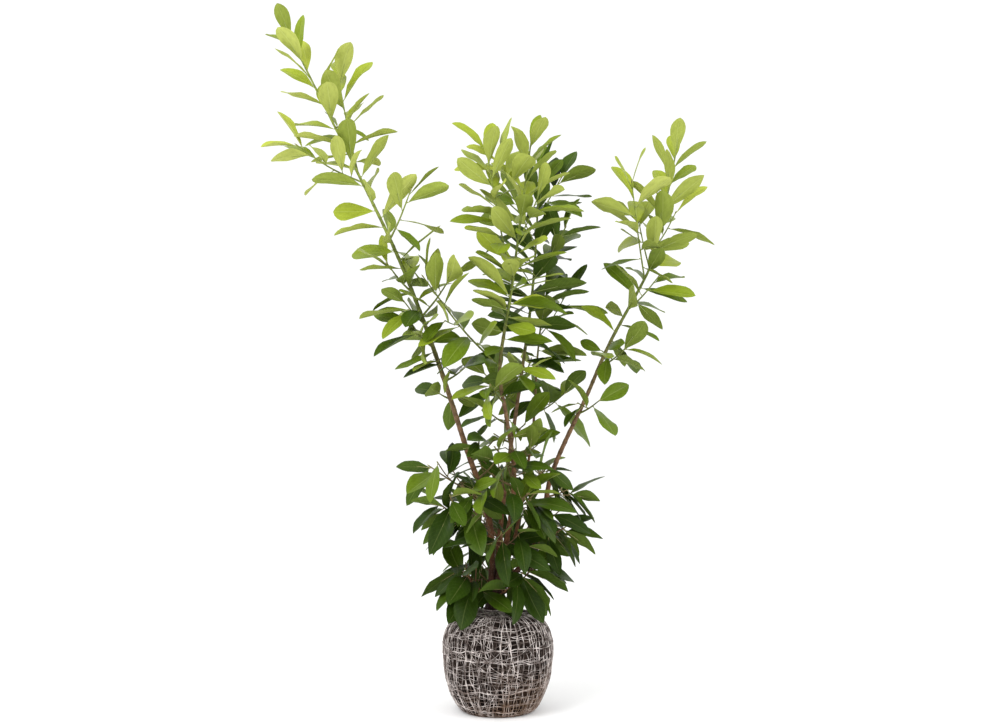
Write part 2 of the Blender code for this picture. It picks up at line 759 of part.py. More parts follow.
def main():
    for old in list(bpy.data.objects):
        bpy.data.objects.remove(old)
    shrub = bpy.data.collections.new("cherry_laurel")
    workshop = bpy.data.collections.new("joined_pieces")
    bpy.context.scene.collection.children.link(shrub)
    bpy.context.scene.collection.children.link(workshop)

    ball = build_ball(shrub)
    ball.data.materials.append(finish("netted_soil", SOIL, 0.9))

    limbs = {"trunk": Limb(TRUNK_ROUTE, TRUNK_RADII)}
    stems = {name: Limb(spec["way"], spec["radii"]) for name, spec in STEMS.items()}
    limbs.update(stems)

    # The trunk and the first stretch of each stem are one piece
    trunk = trunk_tube(limbs["trunk"], shrub)
    for limb in stems.values():
        stub_tube(limb, workshop)
    combine(trunk, "UNION", workshop)
    trunk.data.materials.append(finish("trunk_bark", TRUNK_BARK, 0.8))
    for name, limb in stems.items():
        bough = bough_tube(name, limb, shrub)
        bough.data.materials.append(finish(name + "_bark", STEM_BARK, 0.65))

    masses = [*plan_crowns(stems), *plan_side_sprays(limbs), *plan_low_sprays(limbs)]
    grow_foliage(masses, limbs, ball)
    for mass in masses:
        build_mass(mass, limbs, shrub, workshop)
    bpy.data.collections.remove(workshop)


main()
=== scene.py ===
"""A cherry laurel lifted with its root ball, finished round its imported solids.

Lengths are in metres and +Z is up. The shrub stands on its netted ball and is seen from the
front along +Y. Work goes from the ground up: soil, net, trunk, stems, shoots, leaves.
"""

import math
import random
from collections import namedtuple

import bmesh
import bpy
import numpy as np
from mathutils import Matrix, Vector, noise
from mathutils.bvhtree import BVHTree
from mathutils.kdtree import KDTree


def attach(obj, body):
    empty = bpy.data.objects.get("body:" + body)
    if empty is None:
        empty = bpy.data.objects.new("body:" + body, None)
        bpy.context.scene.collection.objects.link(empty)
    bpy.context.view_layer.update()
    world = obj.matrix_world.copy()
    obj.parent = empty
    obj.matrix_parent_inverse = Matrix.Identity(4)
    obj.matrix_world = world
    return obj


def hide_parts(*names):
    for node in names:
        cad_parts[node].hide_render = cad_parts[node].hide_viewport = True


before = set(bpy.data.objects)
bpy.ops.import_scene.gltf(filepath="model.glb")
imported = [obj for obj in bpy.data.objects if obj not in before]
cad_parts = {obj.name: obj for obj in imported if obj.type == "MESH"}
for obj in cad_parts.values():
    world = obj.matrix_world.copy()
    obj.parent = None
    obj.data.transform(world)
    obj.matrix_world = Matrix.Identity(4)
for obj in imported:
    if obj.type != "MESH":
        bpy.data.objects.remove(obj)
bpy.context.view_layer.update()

UP = Vector((0.0, 0.0, 1.0))
FRONT = Vector((0.0, -1.0, 0.0))


# Root ball
# Moist dark soil held together by the shrub's roots, cut out of the field as a rounded block.
# It has soft dents, a crumbly skin and a flat foot that the whole plant stands on.

BALL_HEIGHT = 0.267
BALL_RADIUS = 0.151
BALL_FOOT_RADIUS = 0.092
BALL_TOP_RADIUS = 0.034
BALL_BELLY_HEIGHT = 0.160
BALL_FOOT_ROUNDNESS = 0.62
BALL_TOP_ROUNDNESS = 0.26
BALL_LUMP = 0.005
LUMP_DENSITY = 11.0
SOIL_SPIN = 168
SOIL_RINGS = 78
CRUMBS = ((70.0, 0.0017), (190.0, 0.0010))
CRUMB_SINK = 0.45
CRUMB_RIM = 4.0
SOIL_MERGE = 0.00002
SOIL_DARK = (0.006, 0.004, 0.0035)
SOIL_PALE = (0.040, 0.027, 0.021)
SOIL_RUST = (0.070, 0.033, 0.014)
SOIL_SHEEN = 0.05


def ball_radius(height):
    """The ball's radius: a full belly, round shoulders and a narrower foot."""
    if height <= BALL_BELLY_HEIGHT:
        rise = math.sin(math.pi / 2 * height / BALL_BELLY_HEIGHT)
        return BALL_FOOT_RADIUS + (BALL_RADIUS - BALL_FOOT_RADIUS) * rise**BALL_FOOT_ROUNDNESS
    rise = (height - BALL_BELLY_HEIGHT) / (BALL_HEIGHT - BALL_BELLY_HEIGHT)
    fullness = max(0.0, 1.0 - rise * rise) ** BALL_TOP_ROUNDNESS
    return BALL_TOP_RADIUS + (BALL_RADIUS - BALL_TOP_RADIUS) * fullness


def ball_swell(place):
    """How far a dent or swell moves the ball's side there."""
    level = min(max(place.z / BALL_HEIGHT, 0.0), 1.0)
    return noise.noise(place * LUMP_DENSITY) * BALL_LUMP * math.sin(math.pi * level)


def add_node(tree, kind, inputs=None, **settings):
    """A shader node with its settings, its sockets filled with values or joined to other sockets."""
    made = tree.nodes.new("ShaderNode" + kind)
    for key, value in settings.items():
        setattr(made, key, value)
    for key, value in (inputs or {}).items():
        socket = made.inputs[key]
        if isinstance(value, bpy.types.NodeSocket):
            tree.links.new(value, socket)
        else:
            socket.default_value = (*value, 1.0) if socket.type == "RGBA" else value
    return made


def speckle(tree, place, scale, detail=2.0, roughness=0.5):
    """Soft random patches from 0 to 1."""
    inputs = {"Vector": place, "Scale": scale, "Detail": detail, "Roughness": roughness}
    return add_node(tree, "TexNoise", inputs).outputs["Fac"]


def pitted(tree, place, scale):
    """How far off the nearest of many scattered points lies."""
    return add_node(tree, "TexVoronoi", {"Vector": place, "Scale": scale}).outputs["Distance"]


def maths(tree, operation, *values):
    """A sum, product or the like of values and sockets."""
    return add_node(tree, "Math", dict(enumerate(values)), operation=operation).outputs[0]


def split(tree, place):
    """A place's X, Y and Z."""
    return add_node(tree, "SeparateXYZ", {"Vector": place}).outputs


def mixed(tree, share, low, high):
    """The colour between low and high at a share."""
    return add_node(tree, "Mix", {0: share, 6: low, 7: high}, data_type="RGBA").outputs[2]


def ramped(tree, value, low, high, start=0.0, end=1.0):
    """A value brought from the range low to high into the range start to end."""
    inputs = {"Value": value, "From Min": low, "From Max": high, "To Min": start, "To Max": end}
    return add_node(tree, "MapRange", inputs).outputs["Result"]


def start_material(name):
    """A material with its shader, and the piece's own coordinates."""
    material = bpy.data.materials.new(name)
    material.use_nodes = True
    tree = material.node_tree
    shader = tree.nodes["Principled BSDF"]
    place = add_node(tree, "TexCoord").outputs["Object"]
    return material, tree, shader, place


def wire_surface(tree, shader, colour, roughness, height, strength, depth, sheen=0.5):
    """Colour, roughness, relief and sheen given to the shader."""
    bump = add_node(tree, "Bump", {"Height": height, "Strength": strength, "Distance": depth})
    tree.links.new(colour, shader.inputs["Base Color"])
    tree.links.new(roughness, shader.inputs["Roughness"])
    tree.links.new(bump.outputs["Normal"], shader.inputs["Normal"])
    shader.inputs["Specular IOR Level"].default_value = sheen


def show(name, data):
    """An object made from a mesh, curve, lamp or camera, in the scene."""
    made = bpy.data.objects.new(name, data)
    bpy.context.scene.collection.objects.link(made)
    return made


def add_piece(name, mesh, material, slot, *nodes):
    """A finished mesh as a piece that rides on the shrub and stands for the named nodes."""
    piece = show(name, mesh)
    if material:
        mesh.materials.append(material)
    mesh.shade_smooth()
    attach(piece, "root")
    if nodes:
        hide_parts(*nodes)
    return piece


form = bmesh.new()
line = [form.verts.new((0.0, 0.0, BALL_HEIGHT))]
for ring in range(SOIL_RINGS + 1):
    level = (1.0 + math.cos(math.pi * ring / SOIL_RINGS)) / 2
    line.append(form.verts.new((ball_radius(BALL_HEIGHT * level), 0.0, BALL_HEIGHT * level)))
line.append(form.verts.new((0.0, 0.0, 0.0)))
edges = [form.edges.new(pair) for pair in zip(line, line[1:])]
bmesh.ops.spin(form, geom=line + edges, cent=(0, 0, 0), axis=(0, 0, 1), angle=math.tau,
               steps=SOIL_SPIN, use_merge=True)
bmesh.ops.remove_doubles(form, verts=form.verts, dist=SOIL_MERGE)
bmesh.ops.recalc_face_normals(form, faces=form.faces)
for vert in form.verts:
    outward = Vector((vert.co.x, vert.co.y, 0.0)).normalized()
    grain = sum(depth * (noise.noise(vert.co * density) - CRUMB_SINK) for density, depth in CRUMBS)
    side = math.sin(math.pi * min(max(vert.co.z / BALL_HEIGHT, 0.0), 1.0))
    vert.co += outward * (ball_swell(vert.co) + grain * min(1.0, CRUMB_RIM * side))
soil_mesh = bpy.data.meshes.new("soil_ball")
form.to_mesh(soil_mesh)
form.free()

soil, tree, shader, place = start_material("netted_soil")
clods = speckle(tree, place, 46.0, 8.0, 0.7)
stain = speckle(tree, place, 7.0, 3.0)
colour = mixed(tree, ramped(tree, clods, 0.42, 0.72), SOIL_DARK, SOIL_PALE)
colour = mixed(tree, ramped(tree, stain, 0.55, 0.75, 0.0, 0.5), colour, SOIL_RUST)
height = maths(tree, "ADD", clods, pitted(tree, place, 240.0))
roughness = ramped(tree, clods, 0.3, 0.7, 0.97, 0.82)
wire_surface(tree, shader, colour, roughness, height, 0.8, 0.002, SOIL_SHEEN)
add_piece("soil_ball", soil_mesh, soil, "netted_soil", "root_ball")


# Net
# A net of coarse thread in two layers, pulled up round the soil and gathered at the trunk's foot.
# The threads run up and down, round, and here and there aslant, some doubled and some slack.

# A layer by its numbers of threads, their radii, the share of thick ones, lift off the soil and colours
Layer = namedtuple("Layer", "upright round slant rings radii thick lift dull pale")
LAYERS = {
    "inner_net": Layer(
        upright=66, round=27, slant=0, rings=0, radii=(0.00055, 0.00095), thick=0.0, lift=0.0,
        dull=(0.060, 0.046, 0.040), pale=(0.200, 0.160, 0.142)),
    "ball_net": Layer(
        upright=108, round=33, slant=74, rings=3, radii=(0.00050, 0.00080), thick=0.16, lift=0.0009,
        dull=(0.150, 0.118, 0.106), pale=(0.740, 0.670, 0.640)),
}
THICK_RADIUS = 0.00120
ROUND_CROWDING = 0.78
UPRIGHT_STEPS = 78
ROUND_STEPS = 150
SLANT_STEPS = 40
SIDE_STEPS = 400
SHARE_BESIDE = 0.01
LOWEST_SHARE = 0.985
LOWEST_THREAD = 0.0014
HIGHEST_SHARE = 0.004
CAP_MERGE = 0.00001
PHASES = 60.0

# Lifts are in thread radii; a sway or wave has its density, its reach and, for some, a level in the noise
UPRIGHT_LIFT = (0.4, 1.4)
UPRIGHT_SWAYS = ((4.0, 0.13, 0.0), (15.0, 0.034, 7.0))
ROUND_LIFT = (0.8, 2.0)
ROUND_SPREAD = 0.8
ROUND_TILT = 0.035
ROUND_WAVES = ((2.2, 0.040), (7.0, 0.015))
SLANT_LIFT = (0.6, 1.8)
SLANT_START = (0.02, 0.80)
SLANT_TURN = (0.15, 1.0)
SLANT_DROP = (0.04, 0.35)
SLANT_SAG = 0.03
SLANT_WAVE = (6.0, 0.012, 3.0)

TRUNK_FOOT = Vector((-0.017, 0.0, BALL_HEIGHT))
GATHER_RADIUS = 0.0225
GATHER_RISE = 0.0045
GATHER_HUMP = 0.0015
RING_STEPS = 48
RING_REACH = GATHER_RADIUS + 0.0022
RING_WOBBLE = 0.0008
RING_RISE = 0.0040
RING_PITCH = 0.0032
RING_TILT = 0.0012
THREAD_STAINED = (0.230, 0.125, 0.060)
THREAD_SHEEN = 0.15
THREAD_SIDES = 4
NET_SEED = 5

# The side of the ball as radius and height, from the top's rim to the foot, with shares of its length
side_line = []
for step in range(SIDE_STEPS + 1):
    height = BALL_HEIGHT * (1.0 + math.cos(math.pi * step / SIDE_STEPS)) / 2
    side_line.append((ball_radius(height), height))
side_marks = np.cumsum([0.0] + [math.dist(a, b) for a, b in zip(side_line, side_line[1:])])
side_marks /= side_marks[-1]
side_radii = np.array([point[0] for point in side_line])
side_heights = np.array([point[1] for point in side_line])


def on_ball(azimuth, share, lift):
    """The place on the ball's side at a share of the way down, lifted off the soil but not
    pushed under the foot."""
    shares = (max(share - SHARE_BESIDE, 0.0), share, min(share + SHARE_BESIDE, 1.0))
    inner, radius, outer = (float(value) for value in np.interp(shares, side_marks, side_radii))
    above, height, below = (float(value) for value in np.interp(shares, side_marks, side_heights))
    outward = Vector((math.sin(azimuth), -math.cos(azimuth), 0.0))
    square = (outward * (above - below) + UP * (outer - inner)).normalized()
    place = outward * radius + UP * height
    place += outward * ball_swell(place) + square * lift
    place.z = max(place.z, LOWEST_THREAD)
    return place


def evaluated_mesh(shown):
    """A new mesh of what an object shows."""
    bpy.context.view_layer.update()
    graph = bpy.context.evaluated_depsgraph_get()
    return bpy.data.meshes.new_from_object(shown.evaluated_get(graph))


def curve_mesh(name, lines, sides, closed=()):
    """Many smooth lines of (place, radius) as one mesh of round closed tubes."""
    path = bpy.data.curves.new(name, "CURVE")
    path.dimensions = "3D"
    path.bevel_depth = 1.0
    path.bevel_resolution = (sides - 4) // 2
    path.use_fill_caps = True
    for number, points in enumerate(lines):
        spline = path.splines.new("POLY")
        spline.points.add(len(points) - 1)
        for knot, (place, radius) in zip(spline.points, points):
            knot.co = (*place, 1.0)
            knot.radius = radius
        spline.use_cyclic_u = number in closed
    curve = show(name, path)
    mesh = evaluated_mesh(curve)
    bpy.data.objects.remove(curve)
    bpy.data.curves.remove(path)
    form = bmesh.new()
    form.from_mesh(mesh)
    bmesh.ops.remove_doubles(form, verts=form.verts, dist=CAP_MERGE)
    bmesh.ops.recalc_face_normals(form, faces=form.faces)
    form.to_mesh(mesh)
    form.free()
    return mesh


def relief(place, layers):
    """Noise at a place, summed over layers of (density, reach)."""
    return sum(reach * noise.noise(place * density) for density, reach in layers)


def upright_threads(layer):
    """Threads from the gather at the trunk over the rim and down the side to the foot."""
    for number in range(layer.upright):
        start = math.tau * (number + dice.uniform(-0.5, 0.5)) / layer.upright
        phase = dice.uniform(0.0, PHASES)
        radius = THICK_RADIUS if dice.random() < layer.thick else dice.uniform(*layer.radii)
        lift = layer.lift + radius * dice.uniform(*UPRIGHT_LIFT)
        rim = on_ball(start, 0.0, lift)
        foot = TRUNK_FOOT + (rim - TRUNK_FOOT).normalized() * GATHER_RADIUS
        foot.z = BALL_HEIGHT + GATHER_RISE
        points = [(foot, radius), (foot.lerp(rim, 0.5) + UP * GATHER_HUMP, radius)]
        for step in range(UPRIGHT_STEPS + 1):
            share = step / UPRIGHT_STEPS * LOWEST_SHARE
            azimuth = start
            for density, reach, level in UPRIGHT_SWAYS:
                azimuth += reach * noise.noise(Vector((share * density, phase, level)))
            points.append((on_ball(azimuth, share, lift), radius))
        yield points


def round_threads(layer):
    """Threads once round the ball, tilted and wavy, closer together towards the foot."""
    for number in range(layer.round):
        place = number + 0.5 + ROUND_SPREAD * dice.uniform(-0.5, 0.5)
        level = (place / layer.round) ** ROUND_CROWDING
        tilt, phase = dice.uniform(0.0, ROUND_TILT), dice.uniform(0.0, math.tau)
        radius = THICK_RADIUS if dice.random() < layer.thick else dice.uniform(*layer.radii)
        lift = layer.lift + radius * dice.uniform(*ROUND_LIFT)
        points = []
        for step in range(ROUND_STEPS):
            azimuth = math.tau * step / ROUND_STEPS
            wave = relief(Vector((math.cos(azimuth), math.sin(azimuth), phase)), ROUND_WAVES)
            share = level + tilt * math.sin(azimuth + phase) + wave
            share = min(max(share, HIGHEST_SHARE), LOWEST_SHARE)
            points.append((on_ball(azimuth, share, lift), radius))
        yield points


def slant_threads(layer):
    """Loose ends and doubled threads that run aslant and sag."""
    density, reach, noise_level = SLANT_WAVE
    for _ in range(layer.slant):
        azimuth, share = dice.uniform(0.0, math.tau), dice.uniform(*SLANT_START)
        turn, drop = dice.choice((-1, 1)) * dice.uniform(*SLANT_TURN), dice.uniform(*SLANT_DROP)
        phase = dice.uniform(0.0, PHASES)
        radius = dice.uniform(*layer.radii)
        lift = 2.0 * layer.lift + radius * dice.uniform(*SLANT_LIFT)
        points = []
        for step in range(SLANT_STEPS + 1):
            way = step / SLANT_STEPS
            wave = reach * noise.noise(Vector((way * density, phase, noise_level)))
            level = min(share + drop * way + SLANT_SAG * math.sin(math.pi * way) + wave, LOWEST_SHARE)
            points.append((on_ball(azimuth + turn * way, level, lift), radius))
        yield points


def ring_threads(layer):
    """Rings that tie the net up round the trunk."""
    for turn in range(layer.rings):
        points = []
        for step in range(RING_STEPS):
            azimuth = math.tau * step / RING_STEPS
            reach = RING_REACH + RING_WOBBLE * math.sin(3 * azimuth + turn)
            rise = RING_RISE + RING_PITCH * turn + RING_TILT * math.sin(azimuth + 2 * turn)
            swing = Vector((math.sin(azimuth) * reach, -math.cos(azimuth) * reach, rise))
            points.append((TRUNK_FOOT + swing, THICK_RADIUS))
        yield points


def thread_material(name, dull, pale):
    """Fibrous thread, dull and pale by patches, and stained by the soil low down."""
    material, tree, shader, place = start_material(name)
    fibres = speckle(tree, place, 900.0)
    colour = mixed(tree, ramped(tree, speckle(tree, place, 52.0, 5.0, 0.65), 0.40, 0.60), dull, pale)
    soaked = ramped(tree, split(tree, place)["Z"], 0.16, 0.02, 0.0, 0.55)
    stained = maths(tree, "MULTIPLY", soaked, ramped(tree, speckle(tree, place, 6.0, 3.0), 0.45, 0.6))
    colour = mixed(tree, stained, colour, THREAD_STAINED)
    roughness = ramped(tree, fibres, 0.3, 0.7, 0.72, 0.95)
    wire_surface(tree, shader, colour, roughness, fibres, 0.6, 0.0006, THREAD_SHEEN)
    return material


dice = random.Random(NET_SEED)
for name, layer in LAYERS.items():
    upright = list(upright_threads(layer))
    rounds = list(round_threads(layer))
    lines = upright + list(slant_threads(layer))
    closed_from = len(lines)
    lines += rounds + list(ring_threads(layer))
    mesh = curve_mesh(name, lines, THREAD_SIDES, range(closed_from, len(lines)))
    add_piece(name, mesh, thread_material(name + "_thread", layer.dull, layer.pale), "net_thread")


# Trunk
# A short dark trunk that flares into the ball and forks at once into five stems. Its bark is thin
# and purple-brown, faintly ridged lengthwise, and swells where the stems leave it.

TRUNK_GAP = 0.0003
TRUNK_ROUTE = (
    (-0.017, 0.0, BALL_HEIGHT + TRUNK_GAP), (-0.017, 0.0, 0.289), (-0.016, 0.001, 0.312),
    (-0.013, 0.002, 0.339),
)
TRUNK_RADII = (0.0235, 0.0180, 0.0165, 0.0120)
STUB_LENGTH = 0.085

# Each stem by its way from the fork up, its radii, the height where its leaves begin and their habit
StemPlan = namedtuple("StemPlan", "way radii leafy_from habit")
STEMS = {
    "left_stem": StemPlan(
        ((-0.017, -0.003, 0.309), (-0.024, -0.022, 0.526), (-0.087, -0.045, 0.725),
         (-0.175, -0.080, 0.996), (-0.270, -0.110, 1.244), (-0.395, -0.140, 1.505),
         (-0.549, -0.158, 1.815)),
        radii=(0.0090, 0.0020), leafy_from=0.937, habit="airy"),
    "front_stem": StemPlan(
        ((-0.013, -0.006, 0.309), (0.024, -0.030, 0.467), (0.044, -0.045, 0.646),
         (0.024, -0.060, 0.801), (0.005, -0.070, 0.942), (0.034, -0.082, 1.137),
         (0.062, -0.090, 1.351), (0.088, -0.100, 1.542)),
        radii=(0.0080, 0.0020), leafy_from=0.967, habit="upright"),
    "back_stem": StemPlan(
        ((-0.012, 0.008, 0.309), (0.003, 0.030, 0.462), (0.022, 0.050, 0.627),
         (0.064, 0.085, 0.908), (0.100, 0.110, 1.187), (0.118, 0.128, 1.507)),
        radii=(0.0075, 0.0020), leafy_from=0.937, habit="upright"),
    "slender_stem": StemPlan(
        ((-0.006, 0.006, 0.309), (0.052, 0.062, 0.487), (0.099, 0.110, 0.772),
         (0.112, 0.140, 0.967), (0.143, 0.175, 1.242)),
        radii=(0.0055, 0.0018), leafy_from=0.877, habit="upright"),
    "right_stem": StemPlan(
        ((-0.006, -0.001, 0.309), (0.110, 0.020, 0.465), (0.150, 0.040, 0.647),
         (0.249, 0.070, 0.863), (0.318, 0.090, 1.017), (0.430, 0.118, 1.223),
         (0.463, 0.130, 1.342), (0.508, 0.150, 1.552)),
        radii=(0.0085, 0.0020), leafy_from=0.987, habit="airy"),
}
TRUNK_STEP = 0.004
STUB_STEP = 0.005
TRUNK_SIDES = 16
TRUNK_VOXEL = 0.0013
FORK_SMOOTHINGS = 4
TRUNK_RIDGES = ((Vector((150.0, 150.0, 26.0)), 0.0012), (Vector((520.0, 520.0, 120.0)), 0.0004))
TRUNK_DARK = (0.016, 0.006, 0.010)
TRUNK_BROWN = (0.062, 0.027, 0.020)
STEM_RED = (0.200, 0.082, 0.036)
STEM_GREY = (0.250, 0.150, 0.082)
STEM_GREEN = (0.150, 0.190, 0.040)
STEM_YOUNG = (0.290, 0.360, 0.070)
BLACK = (0.0, 0.0, 0.0)
PORE_PALE = (0.62, 0.55, 0.44)
BARK_SHEEN = 0.12


class Limb:
    """A tapering limb along a smooth line through its way points."""

    samples_per_span = 12
    heading_reach = 0.004

    def __init__(self, way, radii):
        self.radii = radii
        knots = [Vector(point) for point in way]
        knots = [2 * knots[0] - knots[1]] + knots + [2 * knots[-1] - knots[-2]]
        self.line = []
        for span in range(1, len(knots) - 2):
            for step in range(self.samples_per_span):
                self.line.append(self.curve(knots[span - 1:span + 3], step / self.samples_per_span))
        self.line.append(knots[-2])
        self.marks = [0.0]
        for start, end in zip(self.line, self.line[1:]):
            self.marks.append(self.marks[-1] + (end - start).length)
        self.length = self.marks[-1]

    @staticmethod
    def curve(knots, t):
        """The point at t, from 0 to 1, between the middle two of four knots."""
        before, start, end, after = knots
        slope_in = (end - before) / 2
        slope_out = (after - start) / 2
        return (
            start * (2 * t**3 - 3 * t**2 + 1) + slope_in * (t**3 - 2 * t**2 + t)
            + end * (3 * t**2 - 2 * t**3) + slope_out * (t**3 - t**2)
        )

    def at(self, run):
        """The point a run of length along the limb."""
        run = min(max(run, 0.0), self.length)
        index = next(i for i, mark in enumerate(self.marks[1:]) if mark >= run)
        share = (run - self.marks[index]) / (self.marks[index + 1] - self.marks[index])
        return self.line[index].lerp(self.line[index + 1], share)

    def heading(self, run):
        """The limb's direction there."""
        return (self.at(run + self.heading_reach) - self.at(run - self.heading_reach)).normalized()

    def radius(self, run):
        """Radii are even steps from the foot to the tip."""
        place = run / self.length * (len(self.radii) - 1)
        step = min(int(place), len(self.radii) - 2)
        return self.radii[step] + (self.radii[step + 1] - self.radii[step]) * (place - step)

    def run_at_height(self, height):
        """How far along a rising limb a height lies."""
        index = next(i for i, point in enumerate(self.line) if point.z >= height or i == len(self.line) - 1)
        return self.marks[index]

    def points(self, start, end, step, swell=None):
        """Places and radii in even steps, each radius changed by the swell."""
        count = max(2, round((end - start) / step))
        runs = [start + (end - start) * number / count for number in range(count + 1)]
        return [(self.at(run), self.radius(run) * (swell(run) if swell else 1.0)) for run in runs]


def roughen(mesh, ridges):
    """Relief along the mesh's own normals, from noise stretched by each ridge's density."""
    moved = [vert.co + vert.normal * relief(vert.co, ridges) for vert in mesh.vertices]
    for vert, place in zip(mesh.vertices, moved):
        vert.co = place
    mesh.update()


limbs = {"trunk": Limb(TRUNK_ROUTE, TRUNK_RADII)}
stems = {name: Limb(plan.way, plan.radii) for name, plan in STEMS.items()}
limbs.update(stems)

lines = [limbs["trunk"].points(0.0, limbs["trunk"].length, TRUNK_STEP)]
for limb in stems.values():
    lines.append(limb.points(0.0, STUB_LENGTH, STUB_STEP))
trunk_mesh = curve_mesh("trunk_bark", lines, TRUNK_SIDES)
trunk_piece = add_piece("trunk_bark", trunk_mesh, None, "trunk_bark", "trunk")
remesh = trunk_piece.modifiers.new("one_skin", "REMESH")
remesh.mode = "VOXEL"
remesh.voxel_size = TRUNK_VOXEL
smoothing = trunk_piece.modifiers.new("soft_forks", "SMOOTH")
smoothing.iterations = FORK_SMOOTHINGS
trunk_mesh = evaluated_mesh(trunk_piece)
trunk_piece.modifiers.clear()
trunk_piece.data = trunk_mesh
roughen(trunk_mesh, TRUNK_RIDGES)
for vert in trunk_mesh.vertices:
    vert.co.z = max(vert.co.z, BALL_HEIGHT + TRUNK_GAP)
trunk_mesh.shade_smooth()


def start_group(name, **sockets):
    """A group with named inputs that puts out colour, roughness and height, and its inner ends."""
    made = bpy.data.node_groups.new(name, "ShaderNodeTree")
    for label, kind in sockets.items():
        made.interface.new_socket(label, in_out="INPUT", socket_type="NodeSocket" + kind)
    for label, kind in (("Colour", "Color"), ("Roughness", "Float"), ("Height", "Float")):
        made.interface.new_socket(label, in_out="OUTPUT", socket_type="NodeSocket" + kind)
    return made, made.nodes.new("NodeGroupInput").outputs, made.nodes.new("NodeGroupOutput").inputs


# Bark as fine lengthwise grain, pale pores and darker patches over a colour
bark, given, put = start_group("bark_skin", Place="Vector", Colour="Color", Grain="Float")
stretched = add_node(bark, "Mapping", {"Vector": given["Place"], "Scale": (1.0, 1.0, 0.22)}).outputs[0]
grain = speckle(bark, stretched, 620.0, 5.0)
patches = speckle(bark, given["Place"], 70.0, 4.0)
pores = pitted(bark, given["Place"], 330.0)
dark = mixed(bark, 0.55, given["Colour"], BLACK)
pale = mixed(bark, 0.22, given["Colour"], PORE_PALE)
skin = mixed(bark, ramped(bark, patches, 0.34, 0.66), dark, given["Colour"])
skin = mixed(bark, ramped(bark, grain, 0.58, 0.74), skin, pale)
skin = mixed(bark, ramped(bark, pores, 0.16, 0.08, 0.0, 0.75), skin, pale)
bark.links.new(skin, put["Colour"])
bark.links.new(ramped(bark, patches, 0.3, 0.7, 0.52, 0.78), put["Roughness"])
bark.links.new(maths(bark, "MULTIPLY", grain, given["Grain"]), put["Height"])


def bark_material(name, bands, grain):
    """Bark whose colour changes with height through bands of (height, colour)."""
    material, tree, shader, place = start_material(name)
    level = maths(tree, "MULTIPLY_ADD", speckle(tree, place, 16.0), 0.16, split(tree, place)["Z"])
    colour = bands[0][1]
    for (start, _), (end, shade) in zip(bands, bands[1:]):
        colour = mixed(tree, ramped(tree, level, start, end), colour, shade)
    skin = add_node(tree, "Group", {"Place": place, "Colour": colour, "Grain": grain}, node_tree=bark)
    wire_surface(tree, shader, *skin.outputs, 0.5, 0.0008, BARK_SHEEN)
    return material


trunk_mesh.materials.append(bark_material(
    "trunk_bark", ((0.30, TRUNK_DARK), (0.44, TRUNK_BROWN), (0.54, STEM_RED)), 1.4))


# Stems
# Five slim stems of one or two years' wood, reddish brown below and green towards their tips,
# each swollen a little at every joint where a leaf or twig sits or has sat.

STEM_STEP = 0.0035
STEM_SIDES = 12
JOINT_STEP = 0.031
JOINT_SWELL = 0.10
JOINT_REACH = 0.004
STEM_RIDGES = ((Vector((210.0, 210.0, 60.0)), 0.00035), (Vector((900.0, 900.0, 300.0)), 0.00012))
STUB_OVERLAP = 0.004


def jointed(run):
    """A stem's swelling: fuller at its joints."""
    away = abs(run % JOINT_STEP - JOINT_STEP / 2)
    return 1.0 + JOINT_SWELL * math.exp(-(away / JOINT_REACH) ** 2)


for name, limb in stems.items():
    line = limb.points(STUB_LENGTH - STUB_OVERLAP, limb.length, STEM_STEP, jointed)
    mesh = curve_mesh(name + "_bark", [line], STEM_SIDES)
    roughen(mesh, STEM_RIDGES)
    skin = bark_material(name + "_bark", (
        (0.30, TRUNK_DARK), (0.44, TRUNK_BROWN), (0.54, STEM_RED), (0.92, STEM_GREY),
        (1.16, STEM_GREEN), (1.55, STEM_YOUNG)), 1.0)
    add_piece(name + "_bark", mesh, skin, "stem_bark", name)


# Shoots
# This and last year's growth: upright leafy twigs in the crowns, side sprays on the bare stems and
# a skirt of low sprays. They are thin and round, green above and brownish lower down.

# How leaves stand: opening in degrees and sag, both at the shoot's foot and tip, then bend, length,
# breadth as a share of the length, and spacing
Habit = namedtuple("Habit", "open sag bend length breadth spacing")
HABITS = {
    "upright": Habit((74, 24), (0.25, 0.08), 0.15, 0.138, 0.40, 0.0192),
    "airy": Habit((74, 24), (0.25, 0.08), 0.15, 0.138, 0.40, 0.0240),
    "spreading": Habit((68, 34), (0.45, 0.18), 0.20, 0.142, 0.42, 0.0180),
    "hanging": Habit((64, 40), (0.88, 0.60), 0.22, 0.142, 0.46, 0.0160),
    "fine": Habit((66, 36), (0.60, 0.30), 0.20, 0.112, 0.44, 0.0150),
}

# Twigs of each crown by height, azimuth, rise in degrees and length; then the sprays, with the limb
# they grow from, and for the low ones how many twigs they have
CROWN_TWIGS = {
    "left_stem": ((1.453, 242, 75, 0.25), (1.427, 290, 22, 0.19), (1.072, 80, 50, 0.13),
                  (1.137, 262, 45, 0.10), (1.277, 60, 60, 0.13), (1.047, 300, 40, 0.08),
                  (0.977, 262, 40, 0.09)),
    "front_stem": ((1.163, 305, 75, 0.33), (1.047, 20, 60, 0.15), (1.267, 70, 62, 0.13),
                   (1.387, 285, 50, 0.11)),
    "back_stem": ((1.177, 75, 55, 0.16), (1.057, 170, 55, 0.15), (1.277, 250, 62, 0.13),
                  (1.347, 95, 55, 0.12)),
    "slender_stem": ((1.027, 120, 50, 0.13),),
    "right_stem": ((1.177, 315, 77, 0.25), (1.212, 212, 68, 0.13), (1.087, 70, 42, 0.12),
                   (1.287, 110, 55, 0.10)),
}
